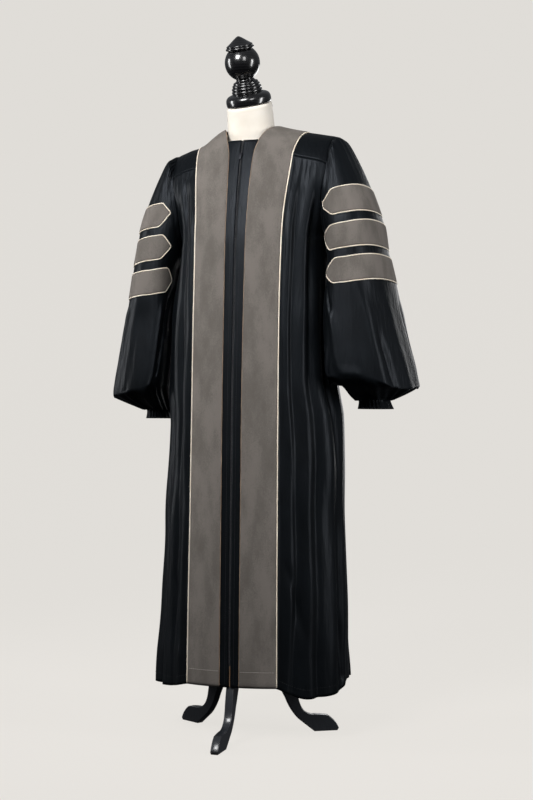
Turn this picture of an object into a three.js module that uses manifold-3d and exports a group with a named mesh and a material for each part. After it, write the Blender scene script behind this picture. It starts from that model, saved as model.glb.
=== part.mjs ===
// A doctoral graduation gown worn by a limbless dress form on a wooden tripod.
// Millimetres, +Z up, the floor at z = 0, the front towards -Y, the wearer's left towards +X.
// The origin is on the floor, under the pole of the form.
import * as THREE from "three";
import { mergeVertices } from "three/addons/utils/BufferGeometryUtils.js";
import Module from "manifold-3d";

// Cloth, trim and gaps
const gownCloth = 1.2;
const velvetCloth = 1.6;
const seamGap = 0.3;
const armholeGap = 1.8;
const layGap = 0.5;
const pipingRadius = 1.5;
const edgeMitre = 0.9;

// Lengths of the gown, as heights over the floor
const hemHeight = 135;
const neckFrontHeight = 1443;
const underarmHeight = 1198;
const slitTopHeight = 185;
const zipTopHeight = 1428;

// Half widths on the front, from the middle of the zip
const zipHalf = 2.4;
const zipCornerHalf = 40;

// The armhole, an upright ellipse at the side of the body
const armhole = { y: 78, z: 1321, halfDepth: 90, halfHeight: 123 };
const armholeX = { low: 186, high: 200 };
const frontSeamTurn = 21.65;
const backSeamTurn = 168.75;
const backSeamHeight = 1345;

// The neck opening, from its front corner over the neck point to the middle of the back
const neckPoint = { x: 70, y: 60, z: 1486 };
const neckBack = { x: 0, y: 124, z: 1478 };
const velvetShare = 0.52;

// How the gown settles on the form, by height: the wearer's left side sits higher, both
// shoulders and arms sit further to the left, and the hem swings to the right
const settleRows = [
  { z: 200, rise: 0, shoulder: 0, skirt: -6 },
  { z: 650, rise: 9, shoulder: 0, skirt: 0 },
  { z: 860, rise: 12, shoulder: 0, skirt: 0 },
  { z: 1050, rise: 7, shoulder: 0, skirt: 0 },
  { z: 1250, rise: 6, shoulder: 9, skirt: 0 },
  { z: 1430, rise: 14, shoulder: 9, skirt: 0 },
];
const settleReach = { from: 60, over: 180, shoulderFrom: 110, shoulderOver: 90, armFrom: 235, armOver: 90 };
const armShift = 7;

// The dress form and its stand
const neckLean = { forward: 21, aside: 3.8 };
const poleRadius = 16;
const formBase = 760;
const footReach = 234;
const legBoard = 19;

// Sections of the body: each row is a height with the middle of the front, the side and the back
const bodyRows = [
  { z: 100, front: -127, sideX: 239, sideY: 60, back: 240, power: 2.15, flute: 9 },
  { z: 300, front: -122, sideX: 231, sideY: 62, back: 238, power: 2.15, flute: 9 },
  { z: 520, front: -115, sideX: 222, sideY: 65, back: 236, power: 2.1, flute: 8 },
  { z: 765, front: -107, sideX: 214, sideY: 70, back: 234, power: 2.1, flute: 7 },
  { z: 900, front: -101, sideX: 206, sideY: 73, back: 220, power: 2.2, flute: 6 },
  { z: 1050, front: -91, sideX: 194, sideY: 76, back: 200, power: 2.4, flute: 4.5 },
  { z: 1198, front: -80, sideX: 186, sideY: 78, back: 186, power: 2.4, flute: 3 },
  { z: 1260, front: -70, sideX: 188, sideY: 78, back: 181, power: 2.3, flute: 2.5 },
  { z: 1320, front: -58, sideX: 192, sideY: 78, back: 176, power: 2.2, flute: 2 },
  { z: 1366, front: -46, sideX: 196, sideY: 78, back: 169, power: 2.1, flute: 1 },
  { z: 1400, front: -36, sideX: 199, sideY: 78, back: 158, power: 2, flute: 0 },
  { z: 1443, front: -22, sideX: 130, sideY: 70, back: 140, power: 2, flute: 0 },
];

// Half widths of the black strip and of the velvet panel beside it, by height
const panelRows = [
  { z: 100, strip: 24.7, velvet: 110 },
  { z: 765, strip: 24.7, velvet: 106 },
  { z: 1050, strip: 25.2, velvet: 105.5 },
  { z: 1230, strip: 26.4, velvet: 107.5 },
  { z: 1400, strip: 31, velvet: 121 },
  { z: 1443, strip: zipCornerHalf, velvet: 124 },
];

// Flutes that hang from the yoke: place from 0 at the velvet to 1 at the side seam
const frontFlutes = [
  { at: 0.1, wide: 0.09, rise: -0.9 },
  { at: 0.23, wide: 0.1, rise: 1 },
  { at: 0.38, wide: 0.09, rise: -1 },
  { at: 0.52, wide: 0.1, rise: 0.8 },
  { at: 0.66, wide: 0.09, rise: -0.9 },
  { at: 0.81, wide: 0.1, rise: 0.4 },
];
const backFlutes = [
  { at: 0.1, wide: 0.07, rise: 0.8 },
  { at: 0.21, wide: 0.07, rise: -1 },
  { at: 0.32, wide: 0.08, rise: 1 },
  { at: 0.43, wide: 0.07, rise: -0.9 },
  { at: 0.55, wide: 0.08, rise: 1 },
  { at: 0.66, wide: 0.07, rise: -1 },
  { at: 0.77, wide: 0.08, rise: 0.9 },
  { at: 0.88, wide: 0.07, rise: -0.7 },
];

// The hem, as a rise or drop from its height: place from 0 at the velvet's edge to 1 at the seam
const frontHem = [
  { at: 0, left: 0, right: 0 },
  { at: 0.3, left: -26, right: -9 },
  { at: 0.75, left: -20, right: -8 },
  { at: 1, left: 3, right: 3 },
];

// Rings of the sleeve from the yoke down: heights at the seam, the front (fore) and outside (out),
// then the section's middle (x1), front (y1), back (y2) and outside (x2 at yo), and how far it
// is turned (skew). An edge over the underarm is a turn on the armhole, in degrees from its front.
const sleeveRows = [
  { turn: 16, fore: 1364, out: 1434, x1: 204, y1: -6, y2: 172, x2: 216, yo: 88, skew: 0 },
  { turn: 8, fore: 1338, out: 1388, x1: 213, y1: -12, y2: 186, x2: 240, yo: 94, skew: 0 },
  { turn: -1, fore: 1306, out: 1320, x1: 224, y1: -18, y2: 198, x2: 268, yo: 99, skew: 0 },
  { turn: -28.4, fore: 1250, out: 1262, x1: 238, y1: -24, y2: 210, x2: 293, yo: 102, skew: 0 },
  { turn: -53.4, fore: 1225, out: 1237, x1: 245, y1: -27, y2: 215, x2: 301, yo: 103, skew: 0.02 },
  { turn: -90, fore: 1169, out: 1179, x1: 254, y1: -31, y2: 222, x2: 316, yo: 105, skew: 0.04 },
  { seam: 1162, seamX: 193, fore: 1145, out: 1155, x1: 258, y1: -33, y2: 224, x2: 321, yo: 106, skew: 0.05 },
  { seam: 1100, seamX: 198, fore: 1088, out: 1098, x1: 266, y1: -37, y2: 229, x2: 333, yo: 107, skew: 0.07 },
  { seam: 1025, seamX: 205, fore: 1018, out: 1026, x1: 276, y1: -41, y2: 235, x2: 347, yo: 108, skew: 0.09 },
  { seam: 945, seamX: 213, fore: 940, out: 940, x1: 288, y1: -46, y2: 240, x2: 366, yo: 109, skew: 0.11 },
  { seam: 890, seamX: 219, fore: 888, out: 876, x1: 297, y1: -48, y2: 243, x2: 382, yo: 110, skew: 0.12 },
  { seam: 862, seamX: 223, fore: 862, out: 842, x1: 302, y1: -47, y2: 242, x2: 387, yo: 110, skew: 0.12 },
  { seam: 849, seamX: 230, fore: 849, out: 831, x1: 301, y1: -34, y2: 229, x2: 373, yo: 111, skew: 0.12 },
  { seam: 820.5, seamX: 244, fore: 820.5, out: 820.5, x1: 282, y1: 70, y2: 182, x2: 319, yo: 126, skew: 0 },
];
const barRowPairs = [
  { name: "top", upper: 3, first: 2, last: 21, gap: 0.9 },
  { name: "middle", upper: 5, first: 3, last: 21, gap: 1.5 },
  { name: "low", upper: 7, first: 3, last: 21, gap: 0.8 },
];
const sleeveColumns = 24;
const armClear = 7;

// The gathered cuff inside the bell of the sleeve
const cuffRows = [
  { z: 820.2, halfWidth: 37, halfDepth: 55 },
  { z: 808, halfWidth: 34, halfDepth: 51 },
  { z: 795, halfWidth: 35, halfDepth: 53 },
  { z: 781, halfWidth: 40, halfDepth: 60 },
];
const cuffCentre = { x: 282, y: 126 };

// Sections of the form's body and of its neck: half width, front, back and how far a ring tips
const formRows = [
  { z: formBase, halfWidth: 158, front: -58, back: 172, tip: 0 },
  { z: 850, halfWidth: 165, front: -62, back: 180, tip: 0 },
  { z: 940, halfWidth: 152, front: -56, back: 163, tip: 0 },
  { z: 1040, halfWidth: 132, front: -44, back: 136, tip: 0 },
  { z: 1120, halfWidth: 143, front: -54, back: 142, tip: 0 },
  { z: 1200, halfWidth: 160, front: -66, back: 153, tip: 0 },
  { z: 1280, halfWidth: 168, front: -52, back: 155, tip: 0 },
  { z: 1350, halfWidth: 173, front: -32, back: 148, tip: 0 },
  { z: 1400, halfWidth: 176, front: -8, back: 130, tip: 0 },
  { z: 1435, halfWidth: 173, front: 16, back: 112, tip: 0 },
  { z: 1452, halfWidth: 160, front: 30, back: 104, tip: 0 },
  { z: 1464, halfWidth: 118, front: 36, back: 98, tip: 0 },
  { z: 1473, halfWidth: 82, front: 42, back: 90, tip: 0 },
];
const neckRows = [
  { z: 1385, halfWidth: 60, front: -1, back: 112, tip: 0 },
  { z: 1443, halfWidth: 59, front: -3, back: 110, tip: 0.02 },
  { z: 1478, halfWidth: 57.5, front: -9, back: 104, tip: 0.12 },
  { z: 1510, halfWidth: 56, front: -16, back: 95, tip: 0.26 },
  { z: 1540, halfWidth: 54.5, front: -23, back: 85, tip: 0.384 },
];
const formPower = 2.15;
const formSides = 28;

// The turned finial: radius and height along its axis
const finialBase = [
  { r: 50, h: 0 },
  { r: 54.5, h: 3 },
  { r: 55.5, h: 12 },
  { r: 52, h: 18 },
  { r: 43, h: 24 },
  { r: 37, h: 28 },
  { r: 37, h: 35 },
  { r: 34, h: 37 },
  { r: 34, h: 43 },
  { r: 30.5, h: 45 },
  { r: 30, h: 51 },
  { r: 26, h: 53 },
  { r: 21, h: 62 },
];
const finialBall = { r: 43, h: 101, from: -59, to: 49, steps: 9 };
const finialTop = [
  { r: 33, h: 134 },
  { r: 34.5, h: 138 },
  { r: 28, h: 142 },
  { r: 27.5, h: 146 },
  { r: 0, h: 165 },
];

// One sawn leg seen from its side: reach from the pole's axis and height
const legOutline = [
  { r: 172, z: 0 },
  { r: 230, z: 0 },
  { r: footReach, z: 6 },
  { r: 226, z: 26, curve: true },
  { r: 208, z: 38 },
  { r: 188, z: 42, curve: true },
  { r: 168, z: 42 },
  { r: 138, z: 46, curve: true },
  { r: 131, z: 86 },
  { r: 118, z: 168, curve: true },
  { r: 74, z: 214 },
  { r: 48, z: 240, curve: true },
  { r: 23.3, z: 246 },
  { r: 23.3, z: 186 },
  { r: 52, z: 176, curve: true },
  { r: 72, z: 140 },
  { r: 92, z: 98, curve: true },
  { r: 100, z: 84 },
  { r: 112, z: 52, curve: true },
  { r: 134, z: 30 },
];

// Finishes
const finish = (color, roughness, metalness) =>
  new THREE.MeshStandardMaterial({ color, roughness, metalness });
const blackCloth = () => finish("#15161b", 0.62, 0);
const greyVelvet = () => finish("#79746f", 0.9, 0);
const creamPiping = () => finish("#e4d4c0", 0.6, 0);
const blackWood = () => finish("#17171a", 0.32, 0);
const glossWood = () => finish("#0d0d0f", 0.12, 0);
const creamForm = () => finish("#f6efe4", 0.8, 0);
const steel = () => finish("#b9b9b6", 0.25, 1);

const gown = new THREE.Group();

// Small helpers for numbers and tables
const mix = (a, b, t) => a + (b - a) * t;
const clamp01 = (t) => Math.min(1, Math.max(0, t));
const ease = (t) => t * t * (3 - 2 * t);
const radians = THREE.MathUtils.degToRad;
const vec = (x, y, z) => new THREE.Vector3(x, y, z);
const between = (a, b, t) => a.clone().lerp(b, t);
const span = (count) => Array.from({ length: count }, (_, i) => i / (count - 1));

// A row of a table at any height or place, with straight lines between the rows
function rowAt(table, key, value) {
  const last = table.length - 1;
  let i = 0;
  while (i < last - 1 && value > table[i + 1][key]) i += 1;
  const [a, b] = [table[i], table[i + 1]];
  const t = clamp01((value - a[key]) / (b[key] - a[key]));
  const row = {};
  for (const name of Object.keys(a)) row[name] = mix(a[name], b[name], t);
  return row;
}

// Flutes and ridges as smooth humps, with none at the two ends of the stretch
function fluteWave(table, place) {
  let sum = 0;
  for (const f of table) {
    const d = Math.abs(place - f.at) / f.wide;
    if (d < 1) sum += f.rise * Math.cos((d * Math.PI) / 2) ** 2;
  }
  return sum * ease(clamp01(place / 0.05)) * ease(clamp01((1 - place) / 0.07));
}

// Outward directions at the points of a sheet whose columns run left to right seen from
// outside and whose rows run upwards
function sheetNormals(grid, wrap) {
  const rows = grid.length;
  const cols = grid[0].length;
  const normals = grid.map((row) => row.map(() => vec(0, 0, 0)));
  const lastColumn = wrap ? cols : cols - 1;
  for (let i = 0; i < rows - 1; i += 1) {
    for (let j = 0; j < lastColumn; j += 1) {
      const k = (j + 1) % cols;
      const across = grid[i][k].clone().sub(grid[i][j]).add(grid[i + 1][k]).sub(grid[i + 1][j]);
      const up = grid[i + 1][j].clone().sub(grid[i][j]).add(grid[i + 1][k]).sub(grid[i][k]);
      const n = across.cross(up).normalize();
      for (const [a, b] of [[i, j], [i, k], [i + 1, j], [i + 1, k]]) normals[a][b].add(n);
    }
  }
  for (const row of normals) row.forEach((n) => n.normalize());
  return normals;
}

// The sheet moved along its outward directions
function moved(grid, normals, distance) {
  return grid.map((row, i) => row.map((p, j) => p.clone().addScaledVector(normals[i][j], distance)));
}

// A closed wall between an outer and an inner sheet
function wallGeometry(outer, inner, wrap) {
  const rows = outer.length;
  const cols = outer[0].length;
  const position = [];
  for (const p of [...outer, ...inner].flat()) position.push(p.x, p.y, p.z);
  const at = (layer, i, j) => layer * rows * cols + i * cols + (j % cols);
  const index = [];
  const quad = (a, b, c, d) => index.push(a, b, c, a, c, d);
  const lastColumn = wrap ? cols : cols - 1;
  for (let i = 0; i < rows - 1; i += 1) {
    for (let j = 0; j < lastColumn; j += 1) {
      quad(at(0, i, j), at(0, i, j + 1), at(0, i + 1, j + 1), at(0, i + 1, j));
      quad(at(1, i, j), at(1, i + 1, j), at(1, i + 1, j + 1), at(1, i, j + 1));
    }
  }
  for (let j = 0; j < lastColumn; j += 1) {
    quad(at(1, 0, j), at(1, 0, j + 1), at(0, 0, j + 1), at(0, 0, j));
    quad(at(0, rows - 1, j), at(0, rows - 1, j + 1), at(1, rows - 1, j + 1), at(1, rows - 1, j));
  }
  if (!wrap) {
    for (let i = 0; i < rows - 1; i += 1) {
      quad(at(0, i, 0), at(0, i + 1, 0), at(1, i + 1, 0), at(1, i, 0));
      quad(at(1, i, cols - 1), at(1, i + 1, cols - 1), at(0, i + 1, cols - 1), at(0, i, cols - 1));
    }
  }
  return geometryFrom(position, index);
}

function geometryFrom(position, index) {
  const geometry = new THREE.BufferGeometry();
  geometry.setAttribute("position", new THREE.Float32BufferAttribute(position, 3));
  geometry.setIndex(index);
  geometry.computeVertexNormals();
  return geometry;
}

// Solids that can be joined
const wasm = await Module();
wasm.setup();

function solidFrom(geometry) {
  const bare = new THREE.BufferGeometry();
  bare.setAttribute("position", geometry.getAttribute("position"));
  bare.setIndex(geometry.index);
  const merged = mergeVertices(bare, 1e-3);
  return new wasm.Manifold(
    new wasm.Mesh({
      numProp: 3,
      vertProperties: merged.getAttribute("position").array,
      triVerts: new Uint32Array(merged.index.array),
    }),
  );
}

// Everything worn, and the form in it, moved as the gown settles
function settled(geometry) {
  const p = geometry.getAttribute("position");
  for (let i = 0; i < p.count; i += 1) {
    const [x, z] = [p.getX(i), p.getZ(i)];
    const row = rowAt(settleRows, "z", z);
    const past = (from, over) => ease(clamp01((Math.abs(x) - from) / over));
    const shoulder = past(settleReach.shoulderFrom, settleReach.shoulderOver);
    const arm = armShift * past(settleReach.armFrom, settleReach.armOver);
    p.setZ(i, z + Math.sign(x) * row.rise * past(settleReach.from, settleReach.over));
    p.setX(i, x + Math.max(row.shoulder * shoulder, arm) + row.skirt * shoulder);
  }
  geometry.computeVertexNormals();
  return geometry;
}

function addPiece(name, geometry, material) {
  const mesh = new THREE.Mesh(geometry, material);
  mesh.name = name;
  gown.add(mesh);
  return mesh;
}

// The same sheet on the wearer's other side, with its columns turned round to face outwards
const flipped = (grid) => grid.map((row) => row.map((p) => vec(-p.x, p.y, p.z)).reverse());
const onSide = (grid, side) => (side > 0 ? grid : flipped(grid));

// The inner sheet drawn in a little at its edges, so that walls that meet at a seam stay apart
function mitred(grid, wrap) {
  const last = grid.length - 1;
  const end = grid[0].length - 1;
  const towards = (p, q) => p.clone().addScaledVector(q.clone().sub(p).normalize(), edgeMitre);
  const rows = grid.map((row, i) => {
    if (i === 0) return row.map((p, j) => towards(p, grid[1][j]));
    if (i === last) return row.map((p, j) => towards(p, grid[last - 1][j]));
    return row;
  });
  if (wrap) return rows;
  return rows.map((row) => [towards(row[0], row[1]), ...row.slice(1, end), towards(row[end], row[end - 1])]);
}

// Cloth whose outer face is the sheet, with the wall inside it
function addCloth(name, grid, thickness, material, wrap = false) {
  const normals = sheetNormals(grid, wrap);
  const inner = mitred(moved(grid, normals, -thickness), wrap);
  return addPiece(name, settled(wallGeometry(grid, inner, wrap)), material);
}

// Cloth that lies on a sheet, a small gap over it
function addLaid(name, grid, gap, material) {
  const normals = sheetNormals(grid, false);
  const inner = moved(grid, normals, gap);
  const outer = moved(grid, normals, gap + velvetCloth);
  return addPiece(name, settled(wallGeometry(outer, inner, false)), material);
}

// Piping: a round cord along points of a sheet, lying just over it
function addPiping(name, points, normals, gap, closed) {
  const sides = 5;
  const count = points.length;
  const position = [];
  points.forEach((p, i) => {
    const before = points[closed ? (i + count - 1) % count : Math.max(0, i - 1)];
    const after = points[closed ? (i + 1) % count : Math.min(count - 1, i + 1)];
    const along = after.clone().sub(before).normalize();
    const aside = along.clone().cross(normals[i]).normalize();
    const up = aside.clone().cross(along).normalize();
    const centre = p.clone().addScaledVector(normals[i], pipingRadius + gap);
    for (let k = 0; k < sides; k += 1) {
      const turn = (k * 2 * Math.PI) / sides;
      const q = centre.clone().addScaledVector(up, pipingRadius * Math.cos(turn));
      q.addScaledVector(aside, pipingRadius * Math.sin(turn));
      position.push(q.x, q.y, q.z);
    }
  });
  const index = [];
  const links = closed ? count : count - 1;
  for (let i = 0; i < links; i += 1) {
    for (let k = 0; k < sides; k += 1) {
      const [a, b] = [i * sides + k, i * sides + ((k + 1) % sides)];
      const next = ((i + 1) % count) * sides;
      const [c, d] = [next + ((k + 1) % sides), next + k];
      index.push(a, b, c, a, c, d);
    }
  }
  if (!closed) {
    for (let k = 1; k < sides - 1; k += 1) {
      index.push(0, k + 1, k);
      const end = (count - 1) * sides;
      index.push(end, end + k, end + k + 1);
    }
  }
  return addPiece(name, settled(geometryFrom(position, index)), creamPiping());
}

// The armhole edge at a turn in degrees, 0 at its front, 90 at the shoulder tip
function armholePoint(turn) {
  const a = radians(turn);
  const z = armhole.z + armhole.halfHeight * Math.sin(a);
  const rise = (z - (armhole.z - armhole.halfHeight)) / (2 * armhole.halfHeight);
  return vec(mix(armholeX.low, armholeX.high, rise), armhole.y - armhole.halfDepth * Math.cos(a), z);
}

// The turn of the armhole's front or back edge at a height
function armholeTurn(z, back) {
  const turn = THREE.MathUtils.radToDeg(Math.asin(clamp01(Math.abs(z - armhole.z) / armhole.halfHeight)));
  const signed = z < armhole.z ? -turn : turn;
  return back ? 180 - signed : signed;
}

// Where a section ends: at the side, or over the underarm at the armhole's edge
function sectionEnd(row, z, back) {
  if (z <= underarmHeight) return { angle: Math.PI / 2, x: row.sideX };
  const seamHeight = back ? backSeamHeight : armholePoint(frontSeamTurn).z;
  const edge = armholePoint(armholeTurn(Math.min(z, seamHeight), back));
  const middle = back ? row.back : row.front;
  const cosine = clamp01((edge.y - row.sideY) / (middle - row.sideY));
  return { angle: Math.acos(cosine ** (row.power / 2)), x: edge.x };
}

// A point of the body at an angle from 0 at the middle of the front or back to 90 at the side
function bodyPoint(row, z, angle, back, flute) {
  const middle = back ? row.back : row.front;
  const [s, c] = [Math.sin(angle), Math.max(0, Math.cos(angle))];
  const out = flute * row.flute;
  const x = row.sideX * s ** (2 / row.power);
  const y = row.sideY + (middle - row.sideY) * c ** (2 / row.power);
  const nx = s ** (2 - 2 / row.power) / row.sideX;
  const ny = c ** (2 - 2 / row.power) / (middle - row.sideY);
  const size = Math.hypot(nx, ny) || 1;
  return vec(x + (out * nx) / size, y + (out * ny) / size, z);
}

// A point part of the way from one angle to the section's end, which it meets exactly
function pointTowardsEnd(z, start, share, back, flute) {
  const row = rowAt(bodyRows, "z", z);
  const end = sectionEnd(row, z, back);
  const p = bodyPoint(row, z, mix(start, end.angle, share), back, flute);
  const missed = end.x - row.sideX * Math.sin(end.angle) ** (2 / row.power);
  p.x += missed * ease(share);
  return p;
}

// The angle at which the section reaches a half width
function angleOfWidth(row, x) {
  return Math.asin(clamp01((x / row.sideX) ** (row.power / 2)));
}

// Columns of one front: the zip edge, the strip's edge, across the velvet, then over the flutes
const velvetSteps = 3;
const fluteStops = [0.1, 0.23, 0.38, 0.52, 0.66, 0.81, 0.93, 1];
const hemRows = [0, 0.14, 0.3, 0.48, 0.64, 0.78, 0.89, 1];
const armholeTurns = [-53.4, -28.4, -1];
const velvetTopHalf = 121;
const seamEndHalf = 193;

// The height of the front's top edge: level at the neck, then down the yoke seam
function frontTopHeight(x) {
  const seamEnd = armholePoint(frontSeamTurn);
  const share = clamp01((x - zipCornerHalf) / (seamEnd.x - zipCornerHalf));
  return mix(neckFrontHeight, seamEnd.z, share);
}

function frontColumnPoint(z, column) {
  const panel = rowAt(panelRows, "z", z);
  const row = rowAt(bodyRows, "z", z);
  if (column.kind === "zip") return bodyPoint(row, z, angleOfWidth(row, zipHalf), false, 0);
  if (column.kind === "velvet") {
    const x = mix(panel.strip, panel.velvet, column.share);
    return bodyPoint(row, z, angleOfWidth(row, x), false, 0);
  }
  const start = angleOfWidth(row, panel.velvet);
  return pointTowardsEnd(z, start, column.share, false, fluteWave(frontFlutes, column.share));
}

function frontColumns() {
  const columns = [{ kind: "zip", topX: 0, share: 0 }];
  for (let k = 0; k <= velvetSteps; k += 1) {
    const share = k / velvetSteps;
    columns.push({ kind: "velvet", share, topX: mix(zipCornerHalf, velvetTopHalf, share) });
  }
  for (const share of fluteStops) {
    columns.push({ kind: "flute", share, topX: mix(velvetTopHalf, seamEndHalf, share) });
  }
  return columns;
}

// One front as a sheet, rows from the hem up to the neckline and the yoke seam
function frontGrid(side) {
  const columns = frontColumns();
  const low = armhole.z - armhole.halfHeight;
  const seamTop = armholePoint(frontSeamTurn).z;
  const heights = [];
  for (const t of hemRows) heights.push({ low: t });
  for (const turn of [...armholeTurns, frontSeamTurn]) {
    heights.push({ high: (armholePoint(turn).z - low) / (seamTop - low) });
  }
  return heights.map((h) =>
    columns.map((column) => {
      const place = column.kind === "flute" ? column.share : 0;
      const hem = hemHeight + rowAt(frontHem, "at", place)[side > 0 ? "left" : "right"];
      const top = frontTopHeight(column.topX) - seamGap / 2;
      const z = h.high === undefined ? mix(hem, low, h.low) : mix(low, top, h.high);
      const p = frontColumnPoint(Math.min(z, neckFrontHeight), column);
      if (column.share === 1 && column.kind === "flute") p.y -= seamGap / 2;
      return p;
    }),
  );
}

// The back from side seam to side seam, up to the yoke seam
const backStops = [0, 0.1, 0.21, 0.32, 0.43, 0.55, 0.66, 0.77, 0.88, 1];
const middlePleat = 0.4;

function backBodyPoint(z, share) {
  return pointTowardsEnd(z, 0, share, true, share === 0 ? middlePleat : fluteWave(backFlutes, share));
}

function backGrid() {
  const left = backStops.map((s) => ({ side: 1, share: 1 - s }));
  const right = backStops.slice(1).map((s) => ({ side: -1, share: s }));
  const low = armhole.z - armhole.halfHeight;
  const heights = hemRows.map((t) => ({ low: t }));
  for (const turn of [...armholeTurns, 180 - backSeamTurn]) {
    heights.push({ high: (armholePoint(turn).z - low) / (backSeamHeight - low) });
  }
  return heights.map((h) =>
    [...left, ...right].map(({ side, share }) => {
      const hem = hemHeight + 3 - 8 * Math.sin(share * Math.PI);
      const z = h.high === undefined ? mix(hem, low, h.low) : mix(low, backSeamHeight - seamGap / 2, h.high);
      const p = backBodyPoint(z, share);
      if (share === 1) p.y += seamGap / 2;
      return vec(side * p.x, p.y, p.z);
    }),
  );
}

// A bend from one point to another over a third one
function bend(a, control, b, t) {
  return between(between(a, control, t), between(control, b, t), t);
}

// The shoulder's ridge line, from the neck point (0) to the shoulder tip (1)
const asVec = (p) => vec(p.x, p.y, p.z);
const ridgePoint = (share) => between(asVec(neckPoint), armholePoint(90), share);

// The yoke over the front of one shoulder: rows from the armhole (0) to the neckline (last),
// columns from the ridge (0) to the front seam (1) so that it faces outwards
const yokeShares = [
  ...span(velvetSteps + 1).map((share) => share * velvetShare),
  ...fluteStops.map((share) => mix(velvetShare, 1, share)),
];
const yokeSteps = span(5);

function frontSeamPoint(share) {
  if (share === 1) return armholePoint(frontSeamTurn);
  if (share <= velvetShare) {
    const across = share / velvetShare;
    const z = frontTopHeight(mix(zipCornerHalf, velvetTopHalf, across));
    return frontColumnPoint(z, { kind: "velvet", share: across });
  }
  const across = (share - velvetShare) / (1 - velvetShare);
  const z = frontTopHeight(mix(velvetTopHalf, seamEndHalf, across));
  return frontColumnPoint(z, { kind: "flute", share: across });
}

function yokeFrontPoint(share, v) {
  if (share === 1) return armholePoint(mix(frontSeamTurn, 90, v));
  const low = frontSeamPoint(share);
  const high = ridgePoint(share);
  const control = vec(mix(low.x, high.x, 0.5), mix(low.y, high.y, 0.35), mix(low.z, high.z, 0.92));
  return bend(low, control, high, v);
}

// Rows go upwards from the seam to the ridge, columns from the neckline out to the armhole
function yokeFrontGrid() {
  return yokeSteps.map((v) =>
    yokeShares.map((share) => {
      const p = yokeFrontPoint(share, v);
      if (v === 0) p.z += share === 1 ? 4 * seamGap : seamGap;
      if (v === 1) p.y -= seamGap / 2;
      return p;
    }),
  );
}

// The back yoke: spokes from the neckline out to the armholes and the back seam
function backNeckPoint(t) {
  const a = (t * Math.PI) / 2;
  const x = neckPoint.x * Math.cos(a);
  const y = mix(neckPoint.y, neckBack.y, Math.sin(a));
  return vec(x, y, mix(neckPoint.z, neckBack.z, t));
}

const seamSpoke = 0.42;
const backSpokes = [
  ...span(4).map((t) => t * seamSpoke),
  ...backStops.slice(1).map((stop) => mix(seamSpoke, 1, stop)),
];

function backRimPoint(t) {
  if (t <= seamSpoke) return armholePoint(mix(90, backSeamTurn, t / seamSpoke));
  return backBodyPoint(backSeamHeight, 1 - (t - seamSpoke) / (1 - seamSpoke));
}

function backYokePoint(t, share) {
  const [near, far] = [backNeckPoint(t), backRimPoint(t)];
  const lift = Math.sin((t * Math.PI) / 2);
  const control = between(near, far, 0.5).add(vec(0, 17 * lift, 22 * lift));
  const rounded = share - 0.4 * share * (1 - share) * Math.sin(t * Math.PI);
  return bend(near, control, far, rounded);
}

// Rows run from the rim in to the neckline, columns from the wearer's left round to the right
function backYokeGrid(shares) {
  const left = backSpokes.map((t) => ({ t, side: 1 }));
  const right = backSpokes.slice(0, -1).reverse().map((t) => ({ t, side: -1 }));
  return [...shares].reverse().map((share) =>
    [...left, ...right].map(({ t, side }) => {
      const p = backYokePoint(t, share);
      if (t === 0) p.y += seamGap / 2;
      if (share === 1 && t >= seamSpoke) p.z += seamGap / 2;
      return vec(side * p.x, p.y, p.z);
    }),
  );
}

// Edge points along the top of the sleeve, on the armhole between the two yoke seams
function sleeveTopRow() {
  const front = [];
  for (const v of yokeSteps) front.push(armholePoint(mix(frontSeamTurn, 90, v)));
  const back = backSpokes.slice(1, 4).map((t) => backRimPoint(t));
  const corners = [...front, ...back];
  const places = corners.map((_, i) => i / (corners.length - 1));
  return span(sleeveColumns + 1).map((c) => {
    const f = c * (corners.length - 1);
    const i = Math.min(corners.length - 2, Math.floor(f));
    return between(corners[i], corners[i + 1], (c - places[i]) * (corners.length - 1));
  });
}

// One ring or arc of the sleeve, from the inner seam round the front, outside and back
function sleeveRing(row) {
  const inner = 3;
  const outer = 2.3;
  const open = row.turn !== undefined;
  const edges = open
    ? [armholePoint(row.turn), armholePoint(180 - row.turn)]
    : [vec(row.seamX, row.yo, row.seam), vec(row.seamX, row.yo, row.seam)];
  return span(sleeveColumns + 1).map((c) => {
    const half = c <= 0.5 ? 0 : 1;
    const t = half === 0 ? c * 2 : (1 - c) * 2;
    const edge = edges[half];
    const endY = half === 0 ? row.y1 : row.y2;
    let x;
    let y;
    if (t <= 0.5) {
      const b = t * Math.PI;
      const near = edge.x + armClear * ease(clamp01(t / 0.1));
      x = row.x1 - (row.x1 - near) * Math.max(0, Math.cos(b)) ** (2 / inner);
      y = edge.y + (endY - edge.y) * Math.sin(b) ** (2 / inner);
    } else {
      const b = (t - 0.5) * Math.PI;
      x = row.x1 + (row.x2 - row.x1) * Math.sin(b) ** (2 / outer);
      y = row.yo + (endY - row.yo) * Math.max(0, Math.cos(b)) ** (2 / outer);
    }
    const level = mix(row.fore, row.out, ease(clamp01(t)));
    return vec(x + row.skew * (y - row.yo), y, mix(edge.z, level, ease(clamp01(t / 0.125))));
  });
}

// The sleeve with its cap edge 0.3 mm outside the armhole, rows upwards from the cuff
function sleeveGrid() {
  const rings = [sleeveTopRow(), ...sleeveRows.map(sleeveRing)];
  rings.forEach((ring, r) => {
    if (r === 0) ring.forEach((p) => p.setX(p.x + seamGap));
    else {
      const ends = [ring[0], ring[sleeveColumns]];
      ends.forEach((p, k) => {
        if (sleeveRows[r - 1].turn !== undefined) p.setX(p.x + armholeGap);
        else p.setY(p.y + (k === 0 ? -seamGap / 2 : seamGap / 2));
      });
    }
  });
  const underarm = rings.findIndex((_, r) => r > 0 && sleeveRows[r - 1].turn === -90);
  rings[underarm][0].y -= seamGap / 2;
  rings[underarm][sleeveColumns].y += seamGap / 2;
  return rings.reverse();
}

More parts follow.
